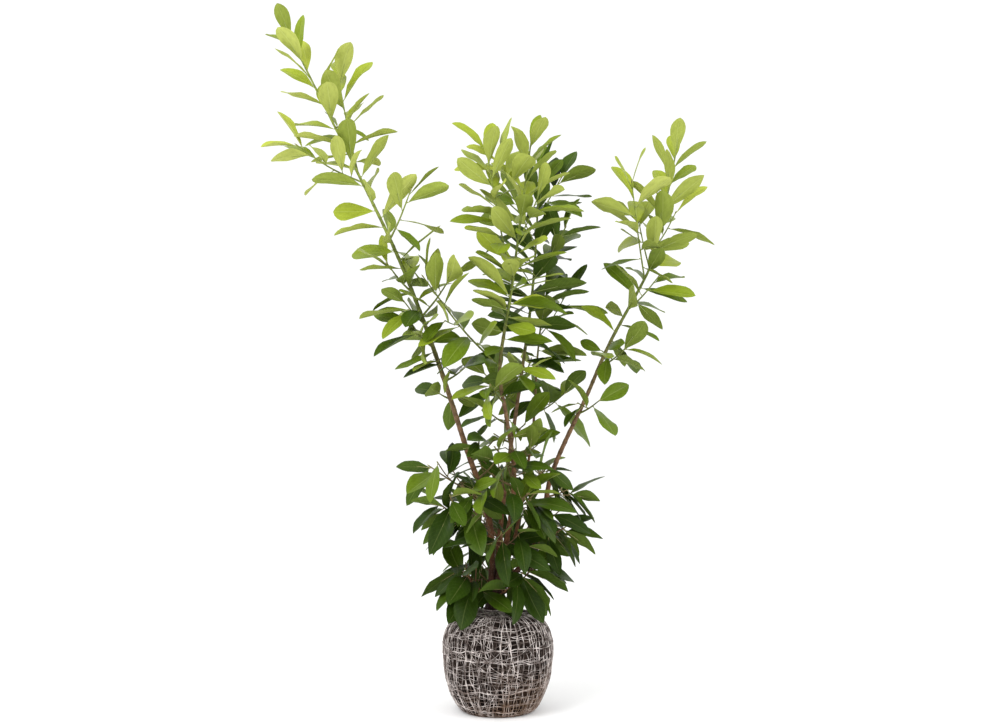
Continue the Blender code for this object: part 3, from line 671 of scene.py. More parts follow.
SIDE_SPRAYS = (
    ("front_stem", 0.939, 286, 45, 0.30),
    ("left_stem", 0.837, 268, 20, 0.03),
    ("left_stem", 0.902, 80, 30, 0.07),
    ("front_stem", 0.847, 330, 30, 0.08),
    ("back_stem", 0.877, 160, 35, 0.12),
    ("slender_stem", 0.807, 90, 30, 0.10),
    ("right_stem", 0.807, 60, 25, 0.07),
    ("right_stem", 0.932, 100, 30, 0.09),
    ("back_stem", 0.747, 40, 20, 0.05),
    ("front_stem", 0.727, 300, 20, 0.05),
    ("front_stem", 0.677, 60, 20, 0.05),
    ("front_stem", 0.787, 280, 28, 0.06),
    ("back_stem", 0.817, 262, 40, 0.12),
    ("front_stem", 0.892, 62, 30, 0.07),
)
HANGING_BELOW = 0.74
LOW_SPRAYS = (
    ("trunk", 0.299, 52, 34, 0.130, 2),
    ("trunk", 0.295, 105, 32, 0.150, 2),
    ("trunk", 0.299, 178, 36, 0.160, 2),
    ("trunk", 0.293, 262, 38, 0.120, 2),
    ("trunk", 0.301, 306, 38, 0.125, 2),
    ("front_stem", 0.427, 355, 25, 0.120, 2),
    ("left_stem", 0.457, 285, 30, 0.180, 2),
    ("back_stem", 0.457, 205, 32, 0.160, 2),
    ("slender_stem", 0.447, 140, 30, 0.140, 2),
    ("right_stem", 0.457, 75, 20, 0.080, 1),
    ("left_stem", 0.587, 272, 24, 0.160, 2),
    ("front_stem", 0.537, 25, 28, 0.110, 2),
    ("left_stem", 0.547, 335, 26, 0.110, 2),
    ("right_stem", 0.577, 80, 14, 0.060, 1),
    ("back_stem", 0.587, 190, 34, 0.130, 2),
    ("front_stem", 0.627, 345, 30, 0.090, 1),
    ("slender_stem", 0.587, 130, 30, 0.090, 1),
    ("right_stem", 0.507, 15, 24, 0.090, 1),
    ("left_stem", 0.487, 350, 26, 0.120, 1),
    ("front_stem", 0.667, 320, 30, 0.090, 1),
    ("left_stem", 0.637, 40, 30, 0.100, 1),
    ("front_stem", 0.607, 292, 26, 0.100, 1),
    ("back_stem", 0.657, 95, 30, 0.090, 1),
    ("right_stem", 0.627, 320, 24, 0.080, 1),
    ("left_stem", 0.677, 60, 34, 0.090, 1),
)
LOW_TWIG_SHARE = 0.55
LOW_TWIG_TURN = 58
LOW_TWIG_RISE = 8
LOW_TWIG_FIRST = 0.34
LOW_TWIG_STEP = 0.24
SHOOT_FOOT_RADIUS = 0.0030
SHOOT_TIP_RADIUS = 0.0016
SHOOT_SHARE = 0.62
SHOOT_LIFT = 0.10
SHOOT_STEP = 0.006
SHOOT_SIDES = 8
SPRAY_BARE_FOOT = 0.022
CROWN_SEED = 11
SIDE_SEED = 31
LOW_SEED = 70
CLEAR = 0.0003


def bearing(heading, azimuth):
    """The direction square to a heading, turned from the front to the right."""
    front = (FRONT - heading * FRONT.dot(heading)).normalized()
    return front * math.cos(azimuth) + heading.cross(front) * math.sin(azimuth)


def compass(azimuth, rise):
    """The direction at an azimuth, from the front to the right, and a rise, in degrees."""
    turn = math.radians(azimuth)
    lift = math.radians(rise)
    return Vector((math.sin(turn) * math.cos(lift), -math.cos(turn) * math.cos(lift), math.sin(lift)))


def shoot(parent, run, azimuth, rise, length):
    """A side shoot from the middle of its parent, bowed upwards by a share of its length."""
    foot = parent.at(run)
    heading = compass(azimuth, rise)
    middle = foot + heading * length * 0.5
    tip = foot + heading * length + UP * SHOOT_LIFT * length
    thickness = min(SHOOT_FOOT_RADIUS, SHOOT_SHARE * parent.radius(run))
    return Limb((foot, middle, tip), (thickness, SHOOT_TIP_RADIUS))


class Mass:
    """A mass of foliage: one stem, its twigs and their leaves, in a space of its own."""

    def __init__(self, name, stem, start, habit, seed):
        self.name = name
        self.stem = stem
        self.start = start
        self.habit = HABITS[habit]
        self.dice = random.Random(seed)
        self.twigs = []
        self.leaves = []

    def shoots(self):
        """Each shoot with the run where its leaves begin."""
        yield self.stem, self.start
        for twig in self.twigs:
            yield twig, SPRAY_BARE_FOOT


def plan_crowns(stems):
    """The leafy top of each stem, with its twigs."""
    for number, (name, limb) in enumerate(stems.items()):
        leafy = limb.run_at_height(STEMS[name].leafy_from) + CLEAR
        crown = Mass(name.replace("stem", "crown"), limb, leafy, STEMS[name].habit, CROWN_SEED + number)
        for height, azimuth, rise, length in CROWN_TWIGS[name]:
            crown.twigs.append(shoot(limb, limb.run_at_height(height), azimuth, rise, length))
        yield crown


def plan_side_sprays(limbs):
    """Small sprays along the bare stretches of the stems, whose leaves hang where they sit low."""
    for number, (host, height, azimuth, rise, length) in enumerate(SIDE_SPRAYS):
        habit = "hanging" if height < HANGING_BELOW else "spreading"
        stem = shoot(limbs[host], limbs[host].run_at_height(height), azimuth, rise, length)
        yield Mass(f"side_spray_{number + 1}", stem, SPRAY_BARE_FOOT, habit, SIDE_SEED + number)


def plan_low_sprays(limbs):
    """The sprays that hide the foot, with twigs that leave their stem by turns to either side."""
    for number, (host, height, azimuth, rise, length, twigs) in enumerate(LOW_SPRAYS):
        stem = shoot(limbs[host], limbs[host].run_at_height(height), azimuth, rise, length)
        spray = Mass(f"low_spray_{number + 1}", stem, SPRAY_BARE_FOOT, "hanging", LOW_SEED + number)
        for twig in range(twigs):
            side = LOW_TWIG_TURN if (twig + number) % 2 else -LOW_TWIG_TURN
            run = length * (LOW_TWIG_FIRST + LOW_TWIG_STEP * twig)
            reach = length * LOW_TWIG_SHARE
            spray.twigs.append(shoot(stem, run, azimuth + side, rise + LOW_TWIG_RISE, reach))
        yield spray


masses = [*plan_crowns(stems), *plan_side_sprays(limbs), *plan_low_sprays(limbs)]
mass_names = [mass.name for mass in masses]

lines = []
for mass in masses:
    for limb, _ in mass.shoots():
        if limb not in stems.values():
            lines.append(limb.points(0.0, limb.length, SHOOT_STEP, jointed))
shoot_skin = bark_material("shoot_skin", (
    (0.30, STEM_RED), (0.62, STEM_GREY), (0.95, STEM_GREEN), (1.45, STEM_YOUNG)), 0.6)
add_piece("shoots", curve_mesh("shoots", lines, SHOOT_SIDES), shoot_skin, "stem_bark")


# Leaves
# Thick, leathery evergreen blades, long and oval with a short point, glossy above and paler below,
# with a pale midrib. They stand in a spiral on short stalks, young yellow-green ones at the top. The top
# ones are painted brighter still for light shining through them, and the low and back ones painted darker
# for shade.

OPEN_SPREAD = math.radians(8)
TURN_SPREAD = math.radians(9)
SAG_SPREAD = 0.35
SIZE_SPREAD = 0.09
BEND_SPREAD = 0.5
LEAF_ROLL = math.radians(64)
LEAST_ROLL = 0.05
ROLL_BIAS = 1.5
TURNED_AWAY = -0.5
OUTSIDE_FROM = Vector((0.0, 0.12, 0.0))
SMALLEST_LEAF = 0.66
SIZE_HUMP = 0.40
HUMP_START = 0.16
HUMP_END = 0.90
SKY_SHARE = 0.65
DIVERGENCE = math.radians(144.0)
LOWER_BAND = 0.31
UPPER_BAND = 0.72
BAND_BREADTHS = {LOWER_BAND: 0.94, UPPER_BAND: 0.96}
LEAF_THICKNESS = 0.030
SPACE_SLACK = 0.045
SPACE_SHARES = (0.6, 1.0)
SPACE_NEIGHBOURS = 40
LEAF_TURNS = (0, 24, -24, 48, -48, 75, -75, 105, -105, 140, -140)
HALF_TURN = 140
TIP_INSET = 0.002
TEST_FOOT = 0.09
TEST_MARGIN = 0.0016
TWIG_TEST_FOOT = 0.012
SAMPLE_STEP = 0.01
FAR_APART = 0.17


class Leaf:
    """A leaf blade: its foot on the shoot's middle line, where it points and which way it faces."""

    def __init__(self, foot, direction, face, length, breadth, bend):
        self.foot = foot
        self.direction = direction
        self.face = face
        self.side = direction.cross(face)
        self.length = length
        self.half_width = length * breadth / 2
        self.bend = bend

    def point(self, share, across=0.0, rise=0.0):
        """A place on the blade: share of its length, metres across and metres above."""
        droop = self.bend * self.length * share * share
        along = self.direction * (self.length * share) - self.face * droop
        return self.foot + along + self.side * across + self.face * rise


def leaf_tree(leaf):
    """The leaf with a margin all round, from a little off its shoot, for finding what it touches."""
    corners = [leaf.point(TEST_FOOT)]
    for share, breadth in BAND_BREADTHS.items():
        across = leaf.half_width * breadth + TEST_MARGIN
        depth = LEAF_THICKNESS * leaf.length + TEST_MARGIN
        corners.append(leaf.point(share, -across))
        corners.append(leaf.point(share, 0.0, TEST_MARGIN))
        corners.append(leaf.point(share, across))
        corners.append(leaf.point(share, 0.0, -depth))
    corners.append(leaf.point(1.0 + TEST_MARGIN / leaf.length))
    faces = []
    for side in range(4):
        near, beside = 1 + side, 1 + (side + 1) % 4
        faces.append((0, near, beside))
        faces.append((near, near + 4, beside + 4, beside))
        faces.append((near + 4, 9, beside + 4))
    return BVHTree.FromPolygons(corners, faces)


def limb_tree(limb, start, end, sides=6, step=0.02):
    """A plain tube round a stretch of a limb, with the margin, for finding what it touches."""
    rings = max(2, int((end - start) / step) + 1)
    corners, faces = [], []
    for ring in range(rings):
        run = start + (end - start) * ring / (rings - 1)
        reach = limb.radius(run) + TEST_MARGIN
        for side in range(sides):
            corners.append(limb.at(run) + bearing(limb.heading(run), math.tau * side / sides) * reach)
        if ring:
            for side in range(sides):
                a, b = (ring - 1) * sides + side, (ring - 1) * sides + (side + 1) % sides
                faces.append((a, b, b + sides, a + sides))
    return BVHTree.FromPolygons(corners, faces)


class Surroundings:
    """What stands already: the spaces of the masses, the limbs and the leaves."""

    def __init__(self, masses, trees):
        self.trees = trees
        self.leaf_trees = []
        self.owners = []
        samples = []
        for mass in masses:
            for limb, start in mass.shoots():
                run = start
                while run <= limb.length:
                    samples.append(limb.at(run))
                    self.owners.append(mass.name)
                    run += SAMPLE_STEP
        self.nearest = KDTree(len(samples))
        for index, point in enumerate(samples):
            self.nearest.insert(point, index)
        self.nearest.balance()

    def in_space(self, leaf, name):
        """True where the leaf's middle and tip lie by shoots of its own mass, give or take the slack."""
        for share in SPACE_SHARES:
            found = self.nearest.find_n(leaf.point(share), SPACE_NEIGHBOURS)
            own = [distance for _, index, distance in found if self.owners[index] == name]
            if not own or own[0] > found[0][2] + SPACE_SLACK:
                return False
        return True

    def touches(self, leaf, tree):
        """True where the leaf meets a limb or an earlier leaf."""
        middle = leaf.point(0.5)
        for other_middle, other in self.leaf_trees:
            if (other_middle - middle).length < FAR_APART and tree.overlap(other):
                return True
        return any(tree.overlap(other) for other in self.trees)

    def add(self, leaf, tree):
        """A leaf that the later ones keep clear of."""
        self.leaf_trees.append((leaf.point(0.5), tree))


def blend(pair, share):
    """Between the value at the foot and the value at the tip."""
    return pair[0] + (pair[1] - pair[0]) * share


def place_leaf(limb, run, share, azimuth, turn, habit, draws):
    """The leaf at a run along its shoot: draws are six chances from -1 to 1."""
    opening = math.radians(blend(habit.open, share)) + OPEN_SPREAD * draws[0]
    sag = blend(habit.sag, share) * (1.0 + SAG_SPREAD * draws[1]) * (1.0 + abs(turn) / HALF_TURN)
    hump = math.sin(math.pi * blend((HUMP_START, HUMP_END), share))
    size = SMALLEST_LEAF + SIZE_HUMP * hump + SIZE_SPREAD * draws[2]
    heading = limb.heading(run)
    foot = limb.at(run)
    aside = bearing(heading, azimuth + TURN_SPREAD * draws[3] + math.radians(turn))
    direction = heading * math.cos(opening) + aside * math.sin(opening)
    direction = (direction - UP * sag).normalized()
    face = UP * SKY_SHARE + heading * (1.0 - SKY_SHARE)
    face = (face - direction * face.dot(direction)).normalized()
    outside = direction.cross(face).dot(foot - OUTSIDE_FROM - UP * foot.z)
    roll = LEAF_ROLL * (LEAST_ROLL + (1.0 - LEAST_ROLL) * abs(draws[4]) ** ROLL_BIAS)
    if (outside > 0) != (draws[4] > TURNED_AWAY):
        roll = -roll
    face.rotate(Matrix.Rotation(roll, 3, direction))
    bend = habit.bend * (1.0 + BEND_SPREAD * draws[5])
    return Leaf(foot, direction, face, habit.length * size, habit.breadth, bend)


def grow_leaves(mass, surroundings):
    """Leaves in a spiral up each shoot of the mass; one that finds no free place is skipped."""
    spacing = mass.habit.spacing
    for limb, start in mass.shoots():
        count = max(1, int((limb.length - start) / spacing))
        first = mass.dice.uniform(0.0, math.tau)
        for number in range(count + 1):
            run = min(start + spacing * (number + 0.5), limb.length - TIP_INSET)
            draws = [mass.dice.uniform(-1.0, 1.0) for _ in range(6)]
            for turn in LEAF_TURNS:
                azimuth = first + number * DIVERGENCE
                leaf = place_leaf(limb, run, number / count, azimuth, turn, mass.habit, draws)
                tree = leaf_tree(leaf)
                if surroundings.in_space(leaf, mass.name) and not surroundings.touches(leaf, tree):
                    surroundings.add(leaf, tree)
                    mass.leaves.append(leaf)
                    break


trees = [limb_tree(limb, 0.0, limb.length) for limb in limbs.values()]
for mass in masses:
    for twig, _ in mass.shoots():
        if twig not in limbs.values():
            trees.append(limb_tree(twig, TWIG_TEST_FOOT, twig.length, sides=4))
trees.append(BVHTree.FromPolygons([vert.co for vert in soil_mesh.vertices],
                                  [face.vertices for face in soil_mesh.polygons]))
surroundings = Surroundings(masses, trees)
for mass in masses:
    grow_leaves(mass, surroundings)

# Finer twigs on the sprays and on the left crown's own stem, with small leaves in free places
FINE_RUNS = {"left": (0.45, 0.50, 0.55, 0.60, 0.84), "side_spray": (0.50,), "low_spray": (0.35,)}
FINE_SHOOTS = {"left": 1}
FINE_LENGTH = (0.035, 0.060)
FINE_RISE = (-15, 40)
FINE_SEED = 500
FINE_FOOT = 0.012
FINE_SIDES = 6
dice = random.Random(FINE_SEED)
lines = []
for mass in masses:
    kind = mass.name.rsplit("_", 1)[0]
    for parent, _ in list(mass.shoots())[:FINE_SHOOTS.get(kind)]:
        for share in FINE_RUNS.get(kind, ()):
            twig = shoot(parent, parent.length * share, dice.uniform(0, 360), dice.uniform(*FINE_RISE),
                         dice.uniform(*FINE_LENGTH))
            fine = Mass(mass.name, twig, FINE_FOOT, "fine", dice.random())
            grow_leaves(fine, surroundings)
            if fine.leaves:
                mass.leaves += fine.leaves
                lines.append(twig.points(0.0, twig.length, SHOOT_STEP, jointed))
add_piece("fine_twigs", curve_mesh("fine_twigs", lines, FINE_SIDES), shoot_skin, "stem_bark")

# A leaf's height and its mass settle its tone, from 0, the deepest green, to 5: partly how young it is,
# partly painted light and shade, with top leaves brighter for light shining through them and low leaves
# darker for shade
AGE_AND_LIGHT_HEIGHTS = (0.42, 0.62, 0.92, 1.18, 1.42)
SHADE_SPREAD = 1.0
# The darker shifts for the back, slender, left and right crowns are painted shade, strongest for the back
# and slender crowns behind the others
PAINTED_SHADE_SHIFT = {"back_crown": -2.7, "slender_crown": -1.5, "left_crown": -0.15, "right_crown": -0.10}
SHADE_SEED = 3
# The brighter top colours hold painted light for light shining through the young blades, and the darkest
# hold painted shade as well as old leaves' deep green
TOP_AGE_AND_LIGHT_COLOURS = (
    (0.022, 0.048, 0.003), (0.046, 0.088, 0.005), (0.108, 0.170, 0.009),
    (0.208, 0.280, 0.017), (0.318, 0.388, 0.034), (0.415, 0.475, 0.064),
)
# Paler than the tops, as the real undersides are, but all turned darker as painted shade on the lower side
# of the blades
SHADED_UNDER_COLOURS = (
    (0.056, 0.100, 0.011), (0.100, 0.155, 0.022), (0.180, 0.242, 0.036),
    (0.278, 0.342, 0.058), (0.372, 0.430, 0.086), (0.472, 0.522, 0.124),
)
SHADES = len(TOP_AGE_AND_LIGHT_COLOURS)
VEIN_TINT = (0.62, 0.70, 0.24)
VEIN_SHARES = (0.10, 0.13, 0.17, 0.22, 0.28, 0.36)
TOP_SHEEN = 0.11
UNDER_SHEEN = 0.06
SIDE_VEINS = 11.0
SIDE_VEIN_SLANT = -5.0
TILE_MARGIN = 0.04

# How a blade is drawn, and how far single blades stray from the plain one
BLADE_FOOT = 0.075
BLADE_ROWS = 8
BLADE_COLUMNS = 4
TIP_CROWDING = 1.40
BLADE_MERGE = 0.0001
BLADE_THICKNESS = 0.0009
FOLD_SPREAD = (0.05, 0.60)
BREADTH_SPREAD = (0.74, 1.08)
BEND_CHANGE = (0.7, 1.4)
WAVE_DEPTH = 0.09
WAVE_COUNT = (1.3, 2.4)
LEAN = 0.18
TWIST = 0.55
EDGE_CURL = 0.10
MIDRIB_SINK = 0.05
OLD_SHADE = 1
YOUTH_SPAN = 3

# A young and an old blade's half width at shares of its length, as a share of its broadest
OUTLINE_SHARES = (0.0, 0.10, 0.25, 0.42, 0.58, 0.71, 0.83, 0.92, 0.97, 1.0)
YOUNG_WIDTHS = (0.04, 0.26, 0.58, 0.84, 0.98, 0.98, 0.82, 0.54, 0.30, 0.0)
OLD_WIDTHS = (0.04, 0.38, 0.76, 0.97, 0.99, 0.87, 0.62, 0.34, 0.16, 0.0)


def blade_template():
    """One closed blade by operators: a grid drawn into the outline, its copy turned over below."""
    form = bmesh.new()
    bmesh.ops.create_grid(form, x_segments=BLADE_COLUMNS, y_segments=BLADE_ROWS, size=1.0)
    copied = bmesh.ops.duplicate(form, geom=form.verts[:] + form.edges[:] + form.faces[:])["geom"]
    under = [item for item in copied if isinstance(item, bmesh.types.BMFace)]
    under_verts = {item for item in copied if isinstance(item, bmesh.types.BMVert)}
    bmesh.ops.reverse_faces(form, faces=under)
    leaf_map = form.loops.layers.uv.new("leaf")
    for face in form.faces:
        face.material_index = 1 if face in under else 0
        for loop in face.loops:
            loop[leaf_map].uv = ((loop.vert.co.x + 1.0) / 2.0, (loop.vert.co.y + 1.0) / 2.0)
    drawn = {}
    for vert in form.verts:
        across, share = vert.co.x, (vert.co.y + 1.0) / 2.0
        share = 1.0 - (1.0 - share) ** TIP_CROWDING
        depth = 1.0 - across * across if vert in under_verts and share < 1.0 else 0.0
        drawn[vert] = (across, share, depth)
        vert.co = (across * float(np.interp(share, OUTLINE_SHARES, YOUNG_WIDTHS)), share, -depth)
    bmesh.ops.remove_doubles(form, verts=form.verts, dist=BLADE_MERGE)
    form.verts.index_update()
    places = np.array([drawn[vert] for vert in form.verts])
    faces = [[loop.vert.index for loop in face.loops] for face in form.faces]
    marks = [[tuple(loop[leaf_map].uv) for loop in face.loops] for face in form.faces]
    sides = [face.material_index for face in form.faces]
    form.free()
    return places, faces, marks, sides


def blade_places(leaf, youth, places, dice):
    """The template's corners laid along a leaf, with an outline, wave, twist and fold of its own."""
    across, along, depth = places.T
    share = BLADE_FOOT + (1.0 - BLADE_FOOT) * along
    width = leaf.half_width * dice.uniform(*BREADTH_SPREAD) * (
        youth * np.interp(along, OUTLINE_SHARES, YOUNG_WIDTHS)
        + (1.0 - youth) * np.interp(along, OUTLINE_SHARES, OLD_WIDTHS))
    wave = WAVE_DEPTH * np.sin(math.tau * (dice.uniform(*WAVE_COUNT) * share + dice.random()))
    lean = dice.uniform(-LEAN, LEAN)
    fold = dice.uniform(*FOLD_SPREAD)
    rise = width * (fold * abs(across) - EDGE_CURL * across**4 - MIDRIB_SINK * (across == 0))
    rise += width * wave * across**2 * np.sign(across) - BLADE_THICKNESS * depth
    sweep = lean * leaf.half_width * np.sin(math.pi * share)
    twist = dice.uniform(-TWIST, TWIST) * share**2
    across = width * across
    turned = across * np.cos(twist) - rise * np.sin(twist) + sweep
    lifted = across * np.sin(twist) + rise * np.cos(twist)
    droop = leaf.bend * leaf.length * share**2
    direction, face, side = (np.array(line) for line in (leaf.direction, leaf.face, leaf.side))
    spine = np.outer(leaf.length * share, direction) - np.outer(droop, face)
    return np.array(leaf.foot) + spine + np.outer(turned, side) + np.outer(lifted, face)


def tile(mark, shade, under):
    """A leaf mark brought into the tile of its shade and side on the shared sheet."""
    u = TILE_MARGIN + (1.0 - 2.0 * TILE_MARGIN) * mark[0]
    v = TILE_MARGIN + (1.0 - 2.0 * TILE_MARGIN) * mark[1]
    return (shade + u) / SHADES, (under + v) / 2.0


# Veins, soft blotches and blistered skin between the veins, from a leaf's own sheet
blade, given, put = start_group(
    "leaf_skin", Mark="Vector", Colour="Color", Vein="Color", Midrib="Float", Ribs="Float")
mark = split(blade, given["Mark"])
off_middle = maths(blade, "ABSOLUTE", maths(blade, "SUBTRACT", mark["X"], 0.5))
slope = maths(blade, "MULTIPLY", off_middle, SIDE_VEIN_SLANT)
away = maths(blade, "PINGPONG", maths(blade, "MULTIPLY_ADD", mark["Y"], SIDE_VEINS, slope), 0.5)
midrib = ramped(blade, off_middle, 0.008, 0.030, 1.0, 0.0)
rib = ramped(blade, away, 0.0, 0.07, 1.0, 0.0)
blotch = speckle(blade, given["Mark"], 5.0, 4.0)
dull = mixed(blade, 0.16, given["Colour"], BLACK)
fresh = mixed(blade, 0.12, given["Colour"], given["Vein"])
skin = mixed(blade, ramped(blade, blotch, 0.30, 0.55), dull, given["Colour"])
skin = mixed(blade, ramped(blade, blotch, 0.50, 0.75), skin, fresh)
skin = mixed(blade, maths(blade, "MULTIPLY", rib, given["Ribs"]), skin, given["Vein"])
skin = mixed(blade, maths(blade, "MULTIPLY", midrib, given["Midrib"]), skin, given["Vein"])
blade.links.new(skin, put["Colour"])
blade.links.new(ramped(blade, blotch, 0.3, 0.7, 0.30, 0.42), put["Roughness"])
blade.links.new(maths(blade, "SUBTRACT", ramped(blade, away, 0.0, 0.35), midrib), put["Height"])


def leaf_material(name, colour, share, midrib, ribs, under):
    """One side of the leaves of one shade, with veins as strong as given."""
    material, tree, shader, _ = start_material(name)
    mark = add_node(tree, "UVMap", uv_map="leaf").outputs["UV"]
    vein = Vector(colour).lerp(Vector(VEIN_TINT), share)
    inputs = {"Mark": mark, "Colour": colour, "Vein": vein, "Midrib": midrib, "Ribs": ribs}
    skin, roughness, height = add_node(tree, "Group", inputs, node_tree=blade).outputs
    if under:
        roughness = ramped(tree, roughness, 0.30, 0.42, 0.55, 0.68)
    wire_surface(tree, shader, skin, roughness, height, 0.25, 0.0004, UNDER_SHEEN if under else TOP_SHEEN)
    return material


# Each shade's upper and lower side in turn
leaf_skins = []
for number, (top, under, share) in enumerate(zip(TOP_AGE_AND_LIGHT_COLOURS, SHADED_UNDER_COLOURS, VEIN_SHARES), 1):
    leaf_skins.append(leaf_material(f"leaf_top_{number}", top, share, 0.85, 0.30, False))
    leaf_skins.append(leaf_material(f"leaf_under_{number}", under, share, 0.95, 0.45, True))
places, blade_faces, blade_marks, blade_sides = blade_template()

# The rim, where a blade's two sides meet and its shading breaks
sides_of = {}
for face, side in zip(blade_faces, blade_sides):
    for pair in zip(face, face[1:] + face[:1]):
        sides_of.setdefault(frozenset(pair), set()).add(side)
rim = np.zeros((len(places), len(places)), dtype=bool)
for first, second in (pair for pair, sides in sides_of.items() if len(sides) == 2):
    rim[first, second] = rim[second, first] = True


def leaf_shade(leaf, mass, dice):
    """How young a leaf looks, with painted light and shade: from its height, its mass and chance, top
    leaves brighter and low and back ones darker.
    """
    level = float(np.interp(leaf.point(0.5).z, AGE_AND_LIGHT_HEIGHTS, range(len(AGE_AND_LIGHT_HEIGHTS))))
    level += 0.5 + PAINTED_SHADE_SHIFT.get(mass.name, 0.0) + SHADE_SPREAD * dice.uniform(-1.0, 1.0)
    return min(max(int(level), 0), SHADES - 1)


def leaves_piece(name, leaves, nodes, slot):
    """All the leaves given, as (leaf, shade), in one mesh on the shared sheet of tiles."""
    dice = random.Random(len(leaves))
    corners, faces, marks, sheet, slots = [], [], [], [], []
    for leaf, shade in leaves:
        first = len(corners) * len(places)
        leaf.bend *= dice.uniform(*BEND_CHANGE)
        youth = min(max((shade - OLD_SHADE + dice.uniform(-1.0, 1.0)) / YOUTH_SPAN, 0.0), 1.0)
        corners.append(blade_places(leaf, youth, places, dice))
        for face, face_marks, side in zip(blade_faces, blade_marks, blade_sides):
            faces.append([first + index for index in face])
            marks.extend(face_marks)
            sheet.extend(tile(mark, shade, side) for mark in face_marks)
            slots.append(2 * shade + side)
    mesh = bpy.data.meshes.new(name)
    mesh.from_pydata(np.concatenate(corners).tolist(), [], faces)
    for label, values in (("leaf", marks), ("OFBake", sheet)):
        layer = mesh.uv_layers.new(name=label)
        layer.data.foreach_set("uv", np.array(values, dtype=np.float32).ravel())
    for skin in leaf_skins:
        mesh.materials.append(skin)
    mesh.polygons.foreach_set("material_index", slots)
    add_piece(name, mesh, None, slot, *nodes)
    ends = np.zeros(2 * len(mesh.edges), dtype=np.int64)
    mesh.edges.foreach_get("vertices", ends)
    ends %= len(places)
    mesh.edges.foreach_set("use_edge_sharp", rim[ends[0::2], ends[1::2]])


shade_dice = random.Random(SHADE_SEED)
groups = {
    "left_leaves": (["left_crown"], "young_leaves"),
    "middle_leaves": (["front_crown", "back_crown", "slender_crown"], "young_leaves"),
    "right_leaves": (["right_crown"], "young_leaves"),
    "side_leaves": ([name for name in mass_names if name.startswith("side_")], "side_leaves"),
    "low_leaves": ([name for name in mass_names if name.startswith("low_")], "low_leaves"),
}
for group, (nodes, slot) in groups.items():
    shaded = []
    for mass in masses:
        if mass.name in nodes:
            shaded += [(leaf, leaf_shade(leaf, mass, shade_dice)) for leaf in mass.leaves]
    leaves_piece(group, shaded, nodes, slot)


# Stalks and buds
# Short fleshy leaf stalks that run on as the midrib below the blade, and small pointed buds in the
# angles above them and at the tips of the shoots.

STALK_RADIUS = 0.0012
STALK_GREEN = (0.300, 0.370, 0.090)
STALK_RED = (0.240, 0.160, 0.060)
STALK_FLECK = (0.62, 0.66, 0.32)
BUD_PLACE = 0.028
BUD_LIFT = 0.7
BUD_BROWN = (0.190, 0.120, 0.045)
BUD_GREEN = (0.300, 0.340, 0.090)
STALK_SIDES = 6

# A stalk and its midrib by share of the leaf, depth below its middle and share of the stalk's radius
STALK_SHAPE = ((0.0, 0.0, 1.25), (BLADE_FOOT / 2, 0.0, 1.0), (BLADE_FOOT, 0.0006, 0.9),
               (BLADE_FOOT + 0.12, 0.0012, 0.75), (BLADE_FOOT + 0.40, 0.0014, 0.35))

# Buds by width and length, and by shares of both from foot to point
SIDE_BUD = (0.0013, 0.0042, ((0.0, 0.35), (0.25, 0.9), (0.5, 1.0), (0.8, 0.55), (1.0, 0.08)))
TIP_BUD = (0.0022, 0.0095, ((-0.15, 0.6), (0.15, 0.95), (0.4, 1.0), (0.75, 0.55), (1.0, 0.06)))


def bud_line(foot, heading, bud):
    """The middle line and radii of a bud."""
    width, length, shape = bud
    return [(foot + heading * length * share, width * fullness) for share, fullness in shape]


stalk_lines, bud_lines = [], []
for mass in masses:
    for leaf in mass.leaves:
        stalk_lines.append([(leaf.point(share, 0.0, -depth), STALK_RADIUS * fullness)
                            for share, depth, fullness in STALK_SHAPE])
        heading = (UP * BUD_LIFT + leaf.direction).normalized()
        bud_lines.append(bud_line(leaf.point(BUD_PLACE), heading, SIDE_BUD))
    for limb, _ in mass.shoots():
        bud_lines.append(bud_line(limb.at(limb.length), limb.heading(limb.length - TIP_INSET), TIP_BUD))

stalks, tree, shader, place = start_material("leaf_stalks")
flecks = speckle(tree, place, 420.0, 3.0)
colour = mixed(tree, ramped(tree, split(tree, place)["Z"], 0.35, 1.15), STALK_RED, STALK_GREEN)
colour = mixed(tree, ramped(tree, flecks, 0.4, 0.7, 0.0, 0.3), colour, STALK_FLECK)
wire_surface(tree, shader, colour, ramped(tree, flecks, 0.3, 0.7, 0.40, 0.55), flecks, 0.3, 0.0003)
add_piece("leaf_stalks", curve_mesh("leaf_stalks", stalk_lines, STALK_SIDES), stalks, "side_leaves")

buds, tree, shader, place = start_material("leaf_buds")
scales = speckle(tree, place, 800.0, 3.0)
colour = mixed(tree, ramped(tree, scales, 0.35, 0.65), BUD_BROWN, BUD_GREEN)
wire_surface(tree, shader, colour, ramped(tree, scales, 0.3, 0.7, 0.35, 0.5), scales, 0.3, 0.0003)
add_piece("leaf_buds", curve_mesh("leaf_buds", bud_lines, STALK_SIDES), buds, "side_leaves")


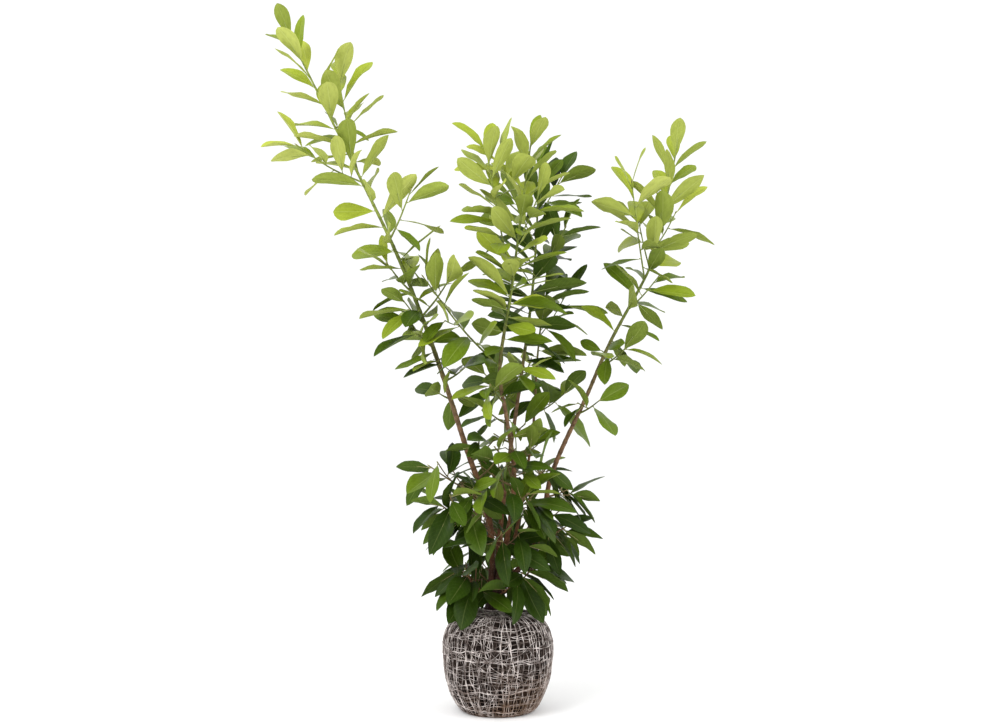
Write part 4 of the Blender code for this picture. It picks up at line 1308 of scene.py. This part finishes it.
# Studio
# A white floor that runs far out under white light from all round, with one soft lamp high on the
# left and a weaker one on the right. The camera stands level at half the shrub's height.

FLOOR_HALF = 12.0
FLOOR_WHITE = (0.98, 0.98, 0.98)
FLOOR_HAZE = (0.95, 0.95, 0.96)
WORLD_STRENGTH = 1.08
LAMP_AIM = Vector((0.0, 0.0, 0.95))
CAMERA_PLACE = (0.0055, -4.0, 0.959)
VIEW_WIDTH = 2.758
SENSOR = 36.0
KEY_LAMP = ((-2.2, -2.6, 3.4), 2.4, 95.0)
FILL_LAMP = ((2.8, -1.6, 2.2), 2.0, 30.0)

form = bmesh.new()
bmesh.ops.create_grid(form, x_segments=8, y_segments=8, size=FLOOR_HALF)
floor_mesh = bpy.data.meshes.new("studio_floor")
form.to_mesh(floor_mesh)
form.free()
floor_skin, tree, shader, place = start_material("studio_floor")
haze = ramped(tree, speckle(tree, place, 0.6), 0.3, 0.7, 0.0, 0.05)
tree.links.new(mixed(tree, haze, FLOOR_WHITE, FLOOR_HAZE), shader.inputs["Base Color"])
shader.inputs["Roughness"].default_value = 0.8
floor_mesh.materials.append(floor_skin)
floor = show("studio_floor", floor_mesh)

for name, (place, size, power) in (("key_lamp", KEY_LAMP), ("fill_lamp", FILL_LAMP)):
    lamp = bpy.data.lights.new(name, "AREA")
    lamp.shape = "DISK"
    lamp.size = size
    lamp.energy = power
    holder = show(name, lamp)
    holder.location = place
    holder.rotation_euler = (LAMP_AIM - holder.location).to_track_quat("-Z", "Y").to_euler()

world = bpy.data.worlds.new("studio_light")
world.use_nodes = True
background = world.node_tree.nodes["Background"]
background.inputs["Color"].default_value = (1.0, 1.0, 1.0, 1.0)
background.inputs["Strength"].default_value = WORLD_STRENGTH
bpy.context.scene.world = world
bpy.context.scene.view_settings.view_transform = "Standard"

camera = bpy.data.cameras.new("camera")
camera.sensor_width = SENSOR
camera.lens = SENSOR * -CAMERA_PLACE[1] / VIEW_WIDTH
holder = show("camera", camera)
holder.location = CAMERA_PLACE
holder.rotation_euler = (math.radians(90.0), 0.0, 0.0)
bpy.context.scene.camera = holder
